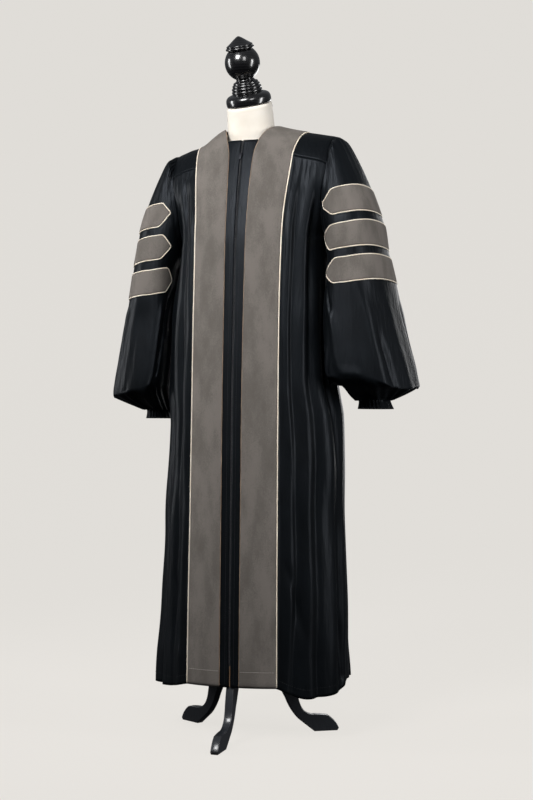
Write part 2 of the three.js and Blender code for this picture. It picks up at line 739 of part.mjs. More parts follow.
// The patch of the sleeve under one velvet bar, pointed at both ends
function barGrid(pair) {
  const rings = sleeveGrid().reverse();
  const [upper, lower] = [rings[pair.upper], rings[pair.upper + 1]];
  const { first, last } = pair;
  const top = [];
  const bottom = [];
  for (let j = first; j <= last; j += 1) {
    const middle = between(upper[j], lower[j], 0.5);
    const share = j === first || j === last ? 0.04 : 1;
    top.push(between(middle, upper[j], share));
    bottom.push(between(middle, lower[j], share));
  }
  return [bottom, top];
}

function barOutline(grid, normals) {
  const [bottom, top] = grid;
  const aside = pipingRadius + seamGap + 0.3;
  const points = [];
  const ups = [];
  const last = top.length - 1;
  const away = (p, q, distance) => p.clone().sub(q).normalize().multiplyScalar(distance);
  const push = (p, q, normal, distance) => {
    points.push(p.clone().add(away(p, q, distance)));
    ups.push(normal);
  };
  const pushEdge = (row, other, j, normal) => {
    push(row[j], other[j], normal, aside);
    const corner = points[points.length - 1];
    if (j === 1) corner.add(away(row[1], row[2], aside * 0.8));
    if (j === last - 1) corner.add(away(row[j], row[j - 1], aside * 0.8));
  };
  const tips = [between(bottom[0], top[0], 0.5), between(bottom[last], top[last], 0.5)];
  push(tips[0], between(bottom[1], top[1], 0.5), normals[0][0], aside * 1.5);
  for (let j = 1; j < last; j += 1) pushEdge(top, bottom, j, normals[1][j]);
  push(tips[1], between(bottom[last - 1], top[last - 1], 0.5), normals[0][last], aside * 1.5);
  for (let j = last - 1; j > 0; j -= 1) pushEdge(bottom, top, j, normals[0][j]);
  return { points, ups };
}

function addBars(side, word) {
  for (const pair of barRowPairs) {
    const grid = onSide(barGrid(pair), side);
    addLaid(`bar_${pair.name}_${word}`, grid, pair.gap, greyVelvet());
    const outline = barOutline(grid, sheetNormals(grid, false));
    addPiping(`bar_piping_${pair.name}_${word}`, outline.points, outline.ups, pair.gap, true);
  }
}

// Cuffs, gathered tubes under the bells
function cuffGrid(side) {
  const sides = 16;
  return [...cuffRows].reverse().map((row) =>
    Array.from({ length: sides }, (_, k) => {
      const turn = (k * 2 * Math.PI) / sides;
      const ripple = k % 2 ? 1 : 0.93;
      const x = side * cuffCentre.x + row.halfWidth * ripple * Math.cos(turn);
      return vec(x, cuffCentre.y + row.halfDepth * ripple * Math.sin(turn), row.z);
    }),
  );
}

// The velvet panel over the front and the yoke, up to the shoulder's ridge
function velvetGrid() {
  const body = frontGrid(1).map((row) => row.slice(1, velvetSteps + 2));
  const yoke = yokeFrontGrid().slice(1).map((row) => row.slice(0, velvetSteps + 1));
  return [...body, ...yoke];
}

// Points beside a sheet's column, moved sideways on the cloth
function besideColumn(grid, column, towards, distance) {
  return grid.map((row) => {
    const away = row[towards].clone().sub(row[column]).normalize();
    return row[column].clone().addScaledVector(away, distance);
  });
}

function addFronts() {
  const yoke = yokeFrontGrid();
  for (const [side, word] of [[1, "left"], [-1, "right"]]) {
    const grid = frontGrid(side);
    addCloth(`front_${word}`, onSide(grid, side), gownCloth, blackCloth());
    addCloth(`yoke_${word}`, onSide(yoke, side), gownCloth, blackCloth());
    addLaid(`velvet_panel_${word}`, onSide(velvetGrid(), side), layGap, greyVelvet());
    const below = grid.map((row) => row.slice(1, velvetSteps + 3));
    const under = [...below, ...yoke.slice(1).map((row) => row.slice(0, velvetSteps + 2))];
    const line = besideColumn(under, velvetSteps, velvetSteps + 1, pipingRadius + 2 * seamGap);
    const ups = sheetNormals(under, false).map((row) => row[velvetSteps]);
    const across = (list) => list.map((p) => vec(side * p.x, p.y, p.z));
    addPiping(`panel_piping_${word}`, across(line), across(ups), layGap, false);
  }
}

function addBack() {
  addCloth("back", backGrid(), gownCloth, blackCloth());
  const shares = [0, velvetShare / 2, velvetShare, 0.76, 1];
  const yoke = backYokeGrid(shares);
  addCloth("yoke_back", yoke, gownCloth, blackCloth());
  addLaid("velvet_neck_band", yoke.slice(2), layGap, greyVelvet());
  const rim = [...yoke].reverse();
  const line = rim[2].map((p, j) => {
    const away = rim[3][j].clone().sub(p).normalize();
    return p.clone().addScaledVector(away, pipingRadius + 2 * seamGap);
  });
  addPiping("neck_band_piping", line, sheetNormals(yoke, false)[2], layGap, false);
}

function addSleeves() {
  const grid = sleeveGrid();
  for (const [side, word] of [[1, "left"], [-1, "right"]]) {
    addCloth(`sleeve_${word}`, onSide(grid, side), gownCloth, blackCloth());
    addCloth(`cuff_${word}`, cuffGrid(side), gownCloth, blackCloth(), true);
    addBars(side, word);
  }
}

// The zip: a chain in the front edges, and a slider whose pull tab hangs over the strip
const slider = { z: 1404, width: 8, height: 11, depth: 3 };
const pull = { width: 6, length: 16, thickness: 1.2, lift: 1.1, barrel: 1 };

function zipPoint(z) {
  const p = frontColumnPoint(z, { kind: "zip" });
  return vec(0, p.y, z);
}

function addZip() {
  const chainHalf = zipHalf - 0.5;
  const edge = frontGrid(1).map((row) => row[0]);
  const rows = edge.map((p) => p.z);
  const inside = rows.filter((z) => z > slitTopHeight + 5 && z < zipTopHeight - 5);
  const heights = [slitTopHeight, ...inside, zipTopHeight];
  const grid = heights.map((z) => [-chainHalf, chainHalf].map((x) => vec(x, zipPoint(z).y, z)));
  addCloth("zip_chain", grid, gownCloth, steel());

  const [lower, upper] = edge.slice(-2);
  const slope = Math.atan2(upper.y - lower.y, upper.z - lower.z);
  const share = (slider.z - lower.z) / (upper.z - lower.z);
  const frame = new THREE.Group();
  frame.position.set(0, mix(lower.y, upper.y, share), slider.z);
  frame.rotation.x = -slope;
  gown.add(frame);
  const place = (name, geometry, y, z) => {
    const mesh = new THREE.Mesh(geometry, steel());
    mesh.name = name;
    mesh.position.set(0, y, z);
    frame.add(mesh);
  };
  place("zip_slider", sliderGeometry(), -seamGap, 0);
  place("zip_pull", pullGeometry(), -(seamGap + slider.depth + pull.lift + seamGap), slider.height * 0.25);
}

// A flat shape drawn in X and Z, with its thickness from y = 0 towards -Y
function board(shape, depth, curveSegments) {
  const geometry = new THREE.ExtrudeGeometry(shape, { depth, bevelEnabled: false, curveSegments });
  geometry.rotateX(Math.PI / 2);
  return geometry;
}

// A slider with a rounded outline, standing out from the strip towards -Y
function sliderGeometry() {
  const shape = new THREE.Shape();
  const [w, h] = [slider.width / 2, slider.height / 2];
  shape.moveTo(-w * 0.55, -h);
  shape.lineTo(w * 0.55, -h);
  shape.lineTo(w, h * 0.4);
  shape.quadraticCurveTo(w, h, w * 0.5, h);
  shape.lineTo(-w * 0.5, h);
  shape.quadraticCurveTo(-w, h, -w, h * 0.4);
  shape.closePath();
  const geometry = board(shape, slider.depth, 3);
  return geometry;
}

// The pull tab: a flat plate with a round lower end, hanging from a barrel on its hinge line
function pullGeometry() {
  const shape = new THREE.Shape();
  const w = pull.width / 2;
  const neck = w * 0.6;
  shape.moveTo(-neck, 0);
  shape.lineTo(-neck, -3);
  shape.lineTo(-w, -5);
  shape.lineTo(-w, -pull.length + w);
  shape.absarc(0, -pull.length + w, w, Math.PI, 2 * Math.PI, false);
  shape.lineTo(w, -5);
  shape.lineTo(neck, -3);
  shape.lineTo(neck, 0);
  shape.closePath();
  const plate = board(shape, pull.thickness, 4);
  plate.translate(0, pull.thickness / 2, 0);
  const barrel = new THREE.CylinderGeometry(pull.barrel, pull.barrel, 2 * neck, 24);
  barrel.rotateZ(Math.PI / 2);
  const joined = solidFrom(plate).add(solidFrom(barrel)).getMesh();
  return geometryFrom(Array.from(joined.vertProperties), Array.from(joined.triVerts));
}

// The dress form: one smooth closed body from the hip to the slanting cut of the neck
function ringsGeometry(rows) {
  const position = [];
  for (const row of rows) {
    const middle = (row.front + row.back) / 2;
    const depth = (row.back - row.front) / 2;
    for (let k = 0; k < formSides; k += 1) {
      const turn = (k * 2 * Math.PI) / formSides;
      const [s, c] = [Math.sin(turn), Math.cos(turn)];
      const x = row.halfWidth * Math.sign(c) * Math.abs(c) ** (2 / formPower);
      const y = middle + depth * Math.sign(s) * Math.abs(s) ** (2 / formPower);
      const aside = (row.tip / Math.tan(radians(neckLean.forward))) * Math.tan(radians(neckLean.aside));
      position.push(x, y, row.z + row.tip * (y - middle) + aside * x);
    }
  }
  const index = [];
  for (let i = 0; i < rows.length - 1; i += 1) {
    for (let k = 0; k < formSides; k += 1) {
      const [a, b] = [i * formSides + k, i * formSides + ((k + 1) % formSides)];
      index.push(a, b, b + formSides, a, b + formSides, a + formSides);
    }
  }
  const top = (rows.length - 1) * formSides;
  for (let k = 1; k < formSides - 1; k += 1) {
    index.push(0, k + 1, k);
    index.push(top, top + k, top + k + 1);
  }
  return geometryFrom(position, index);
}

function addForm() {
  const torso = solidFrom(settled(ringsGeometry(formRows)));
  const joined = torso.add(solidFrom(ringsGeometry(neckRows))).getMesh();
  const geometry = geometryFrom(Array.from(joined.vertProperties), Array.from(joined.triVerts));
  addPiece("dress_form", geometry, creamForm());
}

function addFinial() {
  const points = [new THREE.Vector2(0, 0)];
  for (const p of finialBase) points.push(new THREE.Vector2(p.r, p.h));
  for (const t of span(finialBall.steps)) {
    const a = radians(mix(finialBall.from, finialBall.to, t));
    points.push(new THREE.Vector2(finialBall.r * Math.cos(a), finialBall.h + finialBall.r * Math.sin(a)));
  }
  for (const p of finialTop) points.push(new THREE.Vector2(p.r, p.h));
  const geometry = new THREE.LatheGeometry(points, 20);
  geometry.rotateX(Math.PI / 2);
  const finial = addPiece("finial", geometry, glossWood());
  const neckTop = neckRows[neckRows.length - 1];
  const turn = new THREE.Euler(radians(neckLean.forward), -radians(neckLean.aside), 0, "YXZ");
  const seat = vec(0, 0, seamGap).applyEuler(turn);
  finial.setRotationFromEuler(turn);
  finial.position.set(seat.x, (neckTop.front + neckTop.back) / 2 + seat.y, neckTop.z + seat.z);
}

function addPole() {
  const [bottom, top] = [170, formBase - seamGap];
  const pole = new THREE.CylinderGeometry(poleRadius, poleRadius, top - bottom, 16);
  pole.rotateX(Math.PI / 2);
  pole.translate(0, 0, (top + bottom) / 2);
  addPiece("pole", pole, blackWood());
  const bore = poleRadius + 0.4;
  const outline = [[bore, 0], [23, 0], [23, 76], [19, 82], [bore, 82], [bore, 0]];
  const hub = new THREE.LatheGeometry(outline.map(([r, h]) => new THREE.Vector2(r, h)), 16);
  hub.rotateX(Math.PI / 2);
  hub.translate(0, 0, 176);
  addPiece("stand_hub", hub, blackWood());
}

// Three sawn legs, the first to the front
function legShape() {
  const shape = new THREE.Shape();
  const [first, ...rest] = legOutline;
  shape.moveTo(first.r, first.z);
  for (let i = 0; i < rest.length; i += 1) {
    const p = rest[i];
    if (p.curve) {
      const next = rest[i + 1];
      shape.quadraticCurveTo(p.r, p.z, next.r, next.z);
      i += 1;
    } else shape.lineTo(p.r, p.z);
  }
  shape.closePath();
  return shape;
}

function addLegs() {
  const geometry = board(legShape(), legBoard, 4);
  geometry.translate(0, legBoard / 2, 0);
  for (const [name, turn] of [["leg_front", -90], ["leg_left", 30], ["leg_right", 150]]) {
    const leg = addPiece(name, geometry.clone(), blackWood());
    leg.rotation.z = radians(turn);
  }
}

addFronts();
addBack();
addSleeves();
addZip();
addForm();
addFinial();
addPole();
addLegs();

export default gown;
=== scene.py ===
import math
import bmesh
import bpy
import numpy as np
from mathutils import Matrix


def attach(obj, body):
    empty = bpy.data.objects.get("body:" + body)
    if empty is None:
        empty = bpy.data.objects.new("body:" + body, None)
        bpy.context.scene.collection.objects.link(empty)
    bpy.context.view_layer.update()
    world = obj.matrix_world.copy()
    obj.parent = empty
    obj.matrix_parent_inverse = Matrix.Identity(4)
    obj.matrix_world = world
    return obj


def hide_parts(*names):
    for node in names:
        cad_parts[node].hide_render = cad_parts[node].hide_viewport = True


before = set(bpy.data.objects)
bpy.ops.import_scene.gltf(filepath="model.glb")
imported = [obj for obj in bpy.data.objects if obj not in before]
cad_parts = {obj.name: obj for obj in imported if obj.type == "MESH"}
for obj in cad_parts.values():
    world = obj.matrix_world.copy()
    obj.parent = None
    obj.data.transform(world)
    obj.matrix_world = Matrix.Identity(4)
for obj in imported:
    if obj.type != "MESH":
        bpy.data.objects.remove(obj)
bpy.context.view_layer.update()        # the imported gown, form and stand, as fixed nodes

# Sizes are millimetres in the part's own frame: +Z up, -Y to the front, +X to the wearer's
# left. A mesh is turned to metres when it is made.


# Small tools for numbers. Points are arrays whose last axis is x, y, z.
def mix(a, b, t):
    return a + (b - a) * t


def clamp(t):
    return np.clip(t, 0, 1)


def ease(t):
    t = clamp(t)
    return t * t * (3 - 2 * t)


def point(x, y, z):
    return np.stack(np.broadcast_arrays(x, y, z), -1).astype(float)


def curveThrough(xs, ys, x):
    # a smooth curve through all the points, or grids of points, that never swings past them
    xs, ys, x = np.asarray(xs, float), np.asarray(ys, float), np.asarray(x, float)
    spread = (...,) + (None,) * (ys.ndim - 1)
    step = np.diff(xs)
    slope = np.diff(ys, axis=0) / step[spread]
    even = 2 * slope[:-1] * slope[1:] / (slope[:-1] + slope[1:] + 1e-12)
    tangent = np.concatenate([slope[:1], np.where(slope[:-1] * slope[1:] > 0, even, 0), slope[-1:]])
    i = np.clip(np.searchsorted(xs, x) - 1, 0, len(xs) - 2)
    t, h = clamp((x - xs[i]) / step[i])[spread], step[i][spread]
    low, high = (2 * t - 3) * t * t + 1, (3 - 2 * t) * t * t
    return (low * ys[i] + high * ys[i + 1]
            + h * ((t - 2) * t * t + t) * tangent[i] + h * (t - 1) * t * t * tangent[i + 1])


def table(columns, *rows):
    # rows with named columns; a row may leave out its last ones
    return [dict(zip(columns.split(), row)) for row in rows]


def rowAt(rows, key, value):
    # every column of a table at any height or place
    xs = [row[key] for row in rows]
    return {name: curveThrough(xs, [row[name] for row in rows], value) for name in rows[0] if name != key}


def unit(v):
    return v / np.maximum(np.linalg.norm(v, axis=-1, keepdims=True), 1e-9)


def surfaceNormals(grid):
    # columns run left to right seen from outside and rows run upwards
    across, up = np.gradient(grid, axis=1), np.gradient(grid, axis=0)
    return unit(np.cross(across, up))


def runAlong(points, axis=0):
    # the distance from the first point, measured along an axis of the array
    step = np.linalg.norm(np.diff(points, axis=axis), axis=-1)
    return np.concatenate([np.zeros_like(step.take([0], axis)), np.cumsum(step, axis)], axis)


def sampleLine(run, values, at):
    return np.stack([np.interp(at, run, column) for column in values.T], -1)


def smoothed(values, times, axis=0):
    # each value drawn towards its neighbours, a few times over
    for _ in range(times):
        padded = np.concatenate([np.take(values, [0], axis), values, np.take(values, [-1], axis)], axis)
        n = padded.shape[axis]
        before, after = np.take(padded, range(n - 2), axis), np.take(padded, range(2, n), axis)
        values = 0.5 * values + 0.25 * (before + after)
    return values


# The camera stands 18 degrees round to the wearer's left, level, at the height of the hips.
# The photograph was cropped, so the frame is shifted a little.
view = dict(azimuth=18, distance=3.45, height=0.76, lens=63.7, shift=(0.02625, 0.0275))


def addCamera():
    turn = math.radians(view["azimuth"])
    data = bpy.data.cameras.new("camera")
    data.lens, data.sensor_fit, data.sensor_height, data.sensor_width = view["lens"], "VERTICAL", 36, 24
    data.shift_x, data.shift_y = view["shift"]
    camera = bpy.data.objects.new("camera", data)
    bpy.context.scene.collection.objects.link(camera)
    camera.location = (view["distance"] * math.sin(turn), -view["distance"] * math.cos(turn), view["height"])
    camera.rotation_euler = (math.radians(90), 0, turn)
    bpy.context.scene.camera = camera


# Materials. One function adds a node with its settings and links.
def linear(hexColour):
    values = [int(hexColour[i:i + 2], 16) / 255 for i in (1, 3, 5)]
    return tuple(v / 12.92 if v <= 0.04045 else ((v + 0.055) / 1.055) ** 2.4 for v in values) + (1.0,)


def node(tree, kind, settings=None, stops=(), numbered=None, **inputs):
    # an input takes another node's socket, a value or a hex colour. Numbered ones share a name
    # with others, and stops are a colour ramp's places and hex colours.
    made = tree.nodes.new(kind)
    for name, value in (settings or {}).items():
        setattr(made, name, value)
    for name, value in {**inputs, **(numbered or {})}.items():
        socket = made.inputs[name.replace("_", " ") if isinstance(name, str) else name]
        if isinstance(value, bpy.types.NodeSocket):
            tree.links.new(value, socket)
        else:
            socket.default_value = linear(value) if isinstance(value, str) else value
    for _ in stops[2:]:
        made.color_ramp.elements.new(0.5)
    for element, (place, colour) in zip(made.color_ramp.elements if stops else (), stops):
        element.position, element.color = place, linear(colour)
    return made


def startMaterial(name):
    # an empty material, its node tree and the coordinates that its patterns follow
    material = bpy.data.materials.new(name)
    material.use_nodes = True
    tree = material.node_tree
    tree.nodes.clear()
    return material, tree, node(tree, "ShaderNodeTexCoord").outputs


def finishMaterial(material, **inputs):
    tree = material.node_tree
    shader = node(tree, "ShaderNodeBsdfPrincipled", **inputs)
    node(tree, "ShaderNodeOutputMaterial", Surface=shader.outputs["BSDF"])
    return material


waveBands = 3.15     # a wave texture of scale 1 has about so many bands in a metre


def satinCloth():
    # Polyester satin in black: long floats of smooth yarn give a soft sheen on each fold, with
    # a slight blue cast, and a fine twill line that is only just seen up close.
    material, tree, place = startMaterial("blackSatinCloth")
    cloth = dict(dark="#090b0d", light="#0e1114", yarnMm=1.8, cloudMm=90, rippleMm=11)
    clouds = node(tree, "ShaderNodeTexNoise", Vector=place["Object"], Scale=1000 / cloth["cloudMm"],
                  Detail=3.0, Roughness=0.6)
    colour = node(tree, "ShaderNodeValToRGB", Fac=clouds.outputs["Fac"],
                  stops=[(0.3, cloth["dark"]), (0.75, cloth["light"])])
    # long soft ripples down the cloth, too small to model
    stretch = node(tree, "ShaderNodeMapping", Vector=place["Object"], Scale=(1, 1, 0.1))
    ripples = node(tree, "ShaderNodeTexNoise", Vector=stretch.outputs["Vector"],
                   Scale=1000 / cloth["rippleMm"], Detail=2.5, Roughness=0.55)
    soft = node(tree, "ShaderNodeBump", Height=ripples.outputs["Fac"], Strength=0.5, Distance=0.003)
    # yarn lines drawn at 1.8 mm, coarser than the real 0.15 mm, so that they show
    lines = node(tree, "ShaderNodeTexWave", {"bands_direction": "DIAGONAL"}, Vector=place["UV"],
                 Scale=1000 / cloth["yarnMm"] / waveBands, Distortion=1.2, Detail=1.0)
    fine = node(tree, "ShaderNodeTexNoise", Vector=place["Object"], Scale=900.0, Detail=2.0)
    height = node(tree, "ShaderNodeMath", {"operation": "MULTIPLY_ADD"},
                  numbered={0: lines.outputs["Fac"], 1: 0.6, 2: fine.outputs["Fac"]})
    bump = node(tree, "ShaderNodeBump", Height=height.outputs["Value"], Normal=soft.outputs["Normal"],
                Strength=0.12, Distance=0.0003)
    return finishMaterial(material, Base_Color=colour.outputs["Color"], Normal=bump.outputs["Normal"],
                          Roughness=0.42, IOR=1.5, Sheen_Weight=0.02, Sheen_Roughness=0.4,
                          Sheen_Tint="#93a2ae", Specular_IOR_Level=0.15, Specular_Tint="#ccd4e0")


def pileVelvet():
    # Cotton velvet in warm grey: a short upright pile that is pale where it is seen side-on, with tiny
    # flecks from the tips of the pile. Long pale bands in its colour are painted light of soft folds, with
    # the pile's brushing.
    material, tree, place = startMaterial("greyCottonVelvet")
    pile = dict(deep="#5d5853", mid="#67625d", pale="#716b66", brushAndFoldLightMm=38, fleckMm=1.6)
    # painted light: pale bands along the length, a little aslant, for soft folds catching the light and the
    # pile's brushing
    stretch = node(tree, "ShaderNodeMapping", Vector=place["Object"], Scale=(1, 1, 0.4),
                   Rotation=(0, math.radians(24), 0))
    brushingAndFoldLight = node(tree, "ShaderNodeTexNoise", Vector=stretch.outputs["Vector"],
                   Scale=1000 / pile["brushAndFoldLightMm"], Detail=4.0, Roughness=0.55)
    flecks = node(tree, "ShaderNodeTexNoise", Vector=place["Object"], Scale=1000 / pile["fleckMm"],
                  Detail=2.0, Roughness=0.7)
    # the painted fold light and brushing, with the flecks over them, make the velvet's colour
    blend = node(tree, "ShaderNodeMath", {"operation": "MULTIPLY_ADD"},
                 numbered={0: flecks.outputs["Fac"], 1: 0.9, 2: brushingAndFoldLight.outputs["Fac"]})
    colour = node(tree, "ShaderNodeValToRGB", Fac=blend.outputs["Value"],
                  stops=[(0.7, pile["deep"]), (0.95, pile["mid"]), (1.0, pile["pale"])])
    bump = node(tree, "ShaderNodeBump", Height=flecks.outputs["Fac"], Strength=0.5, Distance=0.001)
    return finishMaterial(material, Base_Color=colour.outputs["Color"], Normal=bump.outputs["Normal"],
                          Roughness=0.95, IOR=1.45, Sheen_Weight=0.12, Sheen_Roughness=0.35,
                          Sheen_Tint="#d8d2ca", Specular_IOR_Level=0.15)


def cordSatin(name, pale, warm):
    # Satin bias strip sewn over a cord: smooth, slightly shiny, with the strip's slanting threads
    # and a warmer shade in places. The threads are drawn at 2.8 mm, coarser than real ones.
    material, tree, place = startMaterial(name)
    cord = dict(threadMm=2.8, shadeMm=30)
    shade = node(tree, "ShaderNodeTexNoise", Vector=place["Object"], Scale=1000 / cord["shadeMm"],
                 Detail=2.0)
    colour = node(tree, "ShaderNodeValToRGB", Fac=shade.outputs["Fac"], stops=[(0.3, warm), (0.7, pale)])
    threads = node(tree, "ShaderNodeTexWave", {"bands_direction": "DIAGONAL"}, Vector=place["Object"],
                   Scale=1000 / cord["threadMm"] / waveBands, Distortion=0.4)
    bump = node(tree, "ShaderNodeBump", Height=threads.outputs["Fac"], Strength=0.2, Distance=0.0002)
    return finishMaterial(material, Base_Color=colour.outputs["Color"], Normal=bump.outputs["Normal"],
                          Roughness=0.5, IOR=1.5, Sheen_Weight=0.15, Sheen_Roughness=0.4)


def formJersey():
    # Cotton jersey drawn tight over a padded form: matt off-white, with knit ribs that are drawn
    # at 2.4 mm, twice as coarse as real ones.
    material, tree, place = startMaterial("creamJersey")
    knit = dict(ribMm=2.4, pale="#f1eadf", warm="#e8dfd1")
    shade = node(tree, "ShaderNodeTexNoise", Vector=place["Object"], Scale=14.0, Detail=3.0)
    colour = node(tree, "ShaderNodeValToRGB", Fac=shade.outputs["Fac"],
                  stops=[(0.35, knit["warm"]), (0.65, knit["pale"])])
    ribs = node(tree, "ShaderNodeTexWave", {"bands_direction": "Z"}, Vector=place["Object"],
                Scale=1000 / knit["ribMm"] / waveBands, Distortion=0.6, Detail=1.0)
    bump = node(tree, "ShaderNodeBump", Height=ribs.outputs["Fac"], Strength=0.15, Distance=0.0003)
    return finishMaterial(material, Base_Color=colour.outputs["Color"], Normal=bump.outputs["Normal"],
                          Roughness=0.85, IOR=1.5, Sheen_Weight=0.2, Sheen_Roughness=0.5)


def lacqueredWood():
    # Turned beech under many coats of black lacquer: deep, wet-looking, with sharp reflections
    # and faint turning rings under the gloss.
    material, tree, place = startMaterial("blackLacqueredBeech")
    wood = dict(dark="#0a0a0b", light="#131315", ringMm=6)
    rings = node(tree, "ShaderNodeTexWave", {"bands_direction": "Z"}, Vector=place["Object"],
                 Scale=1000 / wood["ringMm"] / waveBands, Distortion=1.5, Detail=2.0)
    colour = node(tree, "ShaderNodeValToRGB", Fac=rings.outputs["Fac"],
                  stops=[(0.2, wood["dark"]), (0.8, wood["light"])])
    bump = node(tree, "ShaderNodeBump", Height=rings.outputs["Fac"], Strength=0.03, Distance=0.0001)
    return finishMaterial(material, Base_Color=colour.outputs["Color"], Normal=bump.outputs["Normal"],
                          Roughness=0.25, IOR=1.5, Coat_Weight=0.9, Coat_Roughness=0.09)


def paintedWood():
    # Sawn beech with black satin paint: the grain stands up a little through the paint, and the
    # paint is rubbed slightly paler along the sawn edges.
    material, tree, place = startMaterial("blackPaintedBeech")
    wood = dict(dark="#26282c", light="#34373c", worn="#3a3733", grainMm=2.2)
    # the grain runs up the leg
    stretch = node(tree, "ShaderNodeMapping", Vector=place["Object"], Scale=(1, 1, 0.12))
    grain = node(tree, "ShaderNodeTexNoise", Vector=stretch.outputs["Vector"],
                 Scale=1000 / wood["grainMm"], Detail=5.0, Roughness=0.65)
    colour = node(tree, "ShaderNodeValToRGB", Fac=grain.outputs["Fac"],
                  stops=[(0.3, wood["dark"]), (0.75, wood["light"])])
    edges = node(tree, "ShaderNodeNewGeometry")
    rubbed = node(tree, "ShaderNodeMapRange", Value=edges.outputs["Pointiness"],
                  From_Min=0.53, From_Max=0.6, To_Min=0.0, To_Max=0.6)
    worn = node(tree, "ShaderNodeMix", {"data_type": "RGBA"}, Factor=rubbed.outputs["Result"],
                numbered={6: colour.outputs["Color"], 7: wood["worn"]})
    bump = node(tree, "ShaderNodeBump", Height=grain.outputs["Fac"], Strength=0.15, Distance=0.0004)
    return finishMaterial(material, Base_Color=worn.outputs[2], Normal=bump.outputs["Normal"],
                          Roughness=0.3, IOR=1.5, Coat_Weight=0.6, Coat_Roughness=0.12)


def platedZinc():
    # Die-cast zinc with a dark nickel plate: a dull metal glint, broken up by fine scratches.
    material, tree, place = startMaterial("darkPlatedZinc")
    metal = dict(bright="#26272a", dull="#1b1c1f", scratchMm=1.2)
    scratch = node(tree, "ShaderNodeTexNoise", Vector=place["Object"], Scale=1000 / metal["scratchMm"],
                   Detail=4.0)
    colour = node(tree, "ShaderNodeValToRGB", Fac=scratch.outputs["Fac"],
                  stops=[(0.35, metal["dull"]), (0.6, metal["bright"])])
    roughness = node(tree, "ShaderNodeMapRange", Value=scratch.outputs["Fac"], To_Min=0.3, To_Max=0.45)
    return finishMaterial(material, Base_Color=colour.outputs["Color"],
                          Roughness=roughness.outputs["Result"], Metallic=1.0)


def nylonCoil():
    # Black nylon coil of a dress zip: smooth small loops with a dull plastic shine.
    material, tree, place = startMaterial("blackNylonCoil")
    tone = node(tree, "ShaderNodeTexNoise", Vector=place["Object"], Scale=400.0, Detail=2.0)
    colour = node(tree, "ShaderNodeValToRGB", Fac=tone.outputs["Fac"],
                  stops=[(0.3, "#17181c"), (0.7, "#24262c")])
    return finishMaterial(material, Base_Color=colour.outputs["Color"], Roughness=0.38, IOR=1.53)


def sewingThread(name, pale, dark):
    # Spun polyester thread: short matt stitches, with a twist that darkens them in bands.
    material, tree, place = startMaterial(name)
    twist = node(tree, "ShaderNodeTexWave", {"bands_direction": "DIAGONAL"}, Vector=place["Object"],
                 Scale=260.0, Distortion=0.5)
    colour = node(tree, "ShaderNodeValToRGB", Fac=twist.outputs["Fac"], stops=[(0.2, dark), (0.8, pale)])
    return finishMaterial(material, Base_Color=colour.outputs["Color"], Roughness=0.75, IOR=1.5)


def floorPaper():
    # Matt background paper, pale warm grey, glowing evenly as a lit studio cove does, with the
    # faintest mottling; what falls on it adds a little light and the softest shadows.
    material, tree, place = startMaterial("paleBackgroundPaper")
    paper = dict(glow="#e0ddd8", glowStrength=0.99, dark="#504d4b", light="#54514f")
    tone = node(tree, "ShaderNodeTexNoise", Vector=place["Object"], Scale=0.6, Detail=2.0)
    colour = node(tree, "ShaderNodeValToRGB", Fac=tone.outputs["Fac"],
                  stops=[(0.35, paper["dark"]), (0.65, paper["light"])])
    return finishMaterial(material, Base_Color=colour.outputs["Color"], Roughness=0.9,
                          Specular_IOR_Level=0.0, Emission_Color=paper["glow"],
                          Emission_Strength=paper["glowStrength"])


looks = dict(
    cloth=satinCloth(), velvet=pileVelvet(), piping=cordSatin("creamSatinCord", "#f6ecda", "#e8d8c2"),
    fineCord=cordSatin("tanSatinEdge", "#a89078", "#78624f"), form=formJersey(), gloss=lacqueredWood(),
    wood=paintedWood(), metal=platedZinc(), coil=nylonCoil(),
    darkThread=sewingThread("blackThread", "#1c1d22", "#101114"),
    greyThread=sewingThread("greyThread", "#b5afa8", "#8f8a84"),
    tape=sewingThread("blackZipTape", "#15161a", "#0d0e11"),
    tan=sewingThread("tanBinding", "#a58263", "#7d5f46"), paper=floorPaper(),
)
print("materials ready")


# The stage: a floor that curves up all round into a pale wall, lit evenly from its own far
# side like a studio cove, and soft lights. The cove is for the camera's eye only, so that
# the black cloth keeps its depth.
stage = dict(flat=5.5, rise=4.0, wall=5.6, sides=96, worldStrength=0.2)
softboxes = table(
    "name azimuth distance height size power aim spread",
    ("keyBox", -14, 2.5, 2.75, (1.1, 1.1), 16, 1.4, 70),
    ("frontBox", 30, 3.2, 2.4, (0.9, 1.2), 5, 1.2, 80),
    ("leftStrip", -78, 2.6, 1.5, (0.5, 1.8), 10, 1.1, 100),
    ("rightStrip", 84, 2.6, 1.3, (0.5, 1.8), 11, 0.9, 100),
    ("backBox", 176, 2.9, 1.3, (1.6, 1.6), 5, 0.9, 90),
)


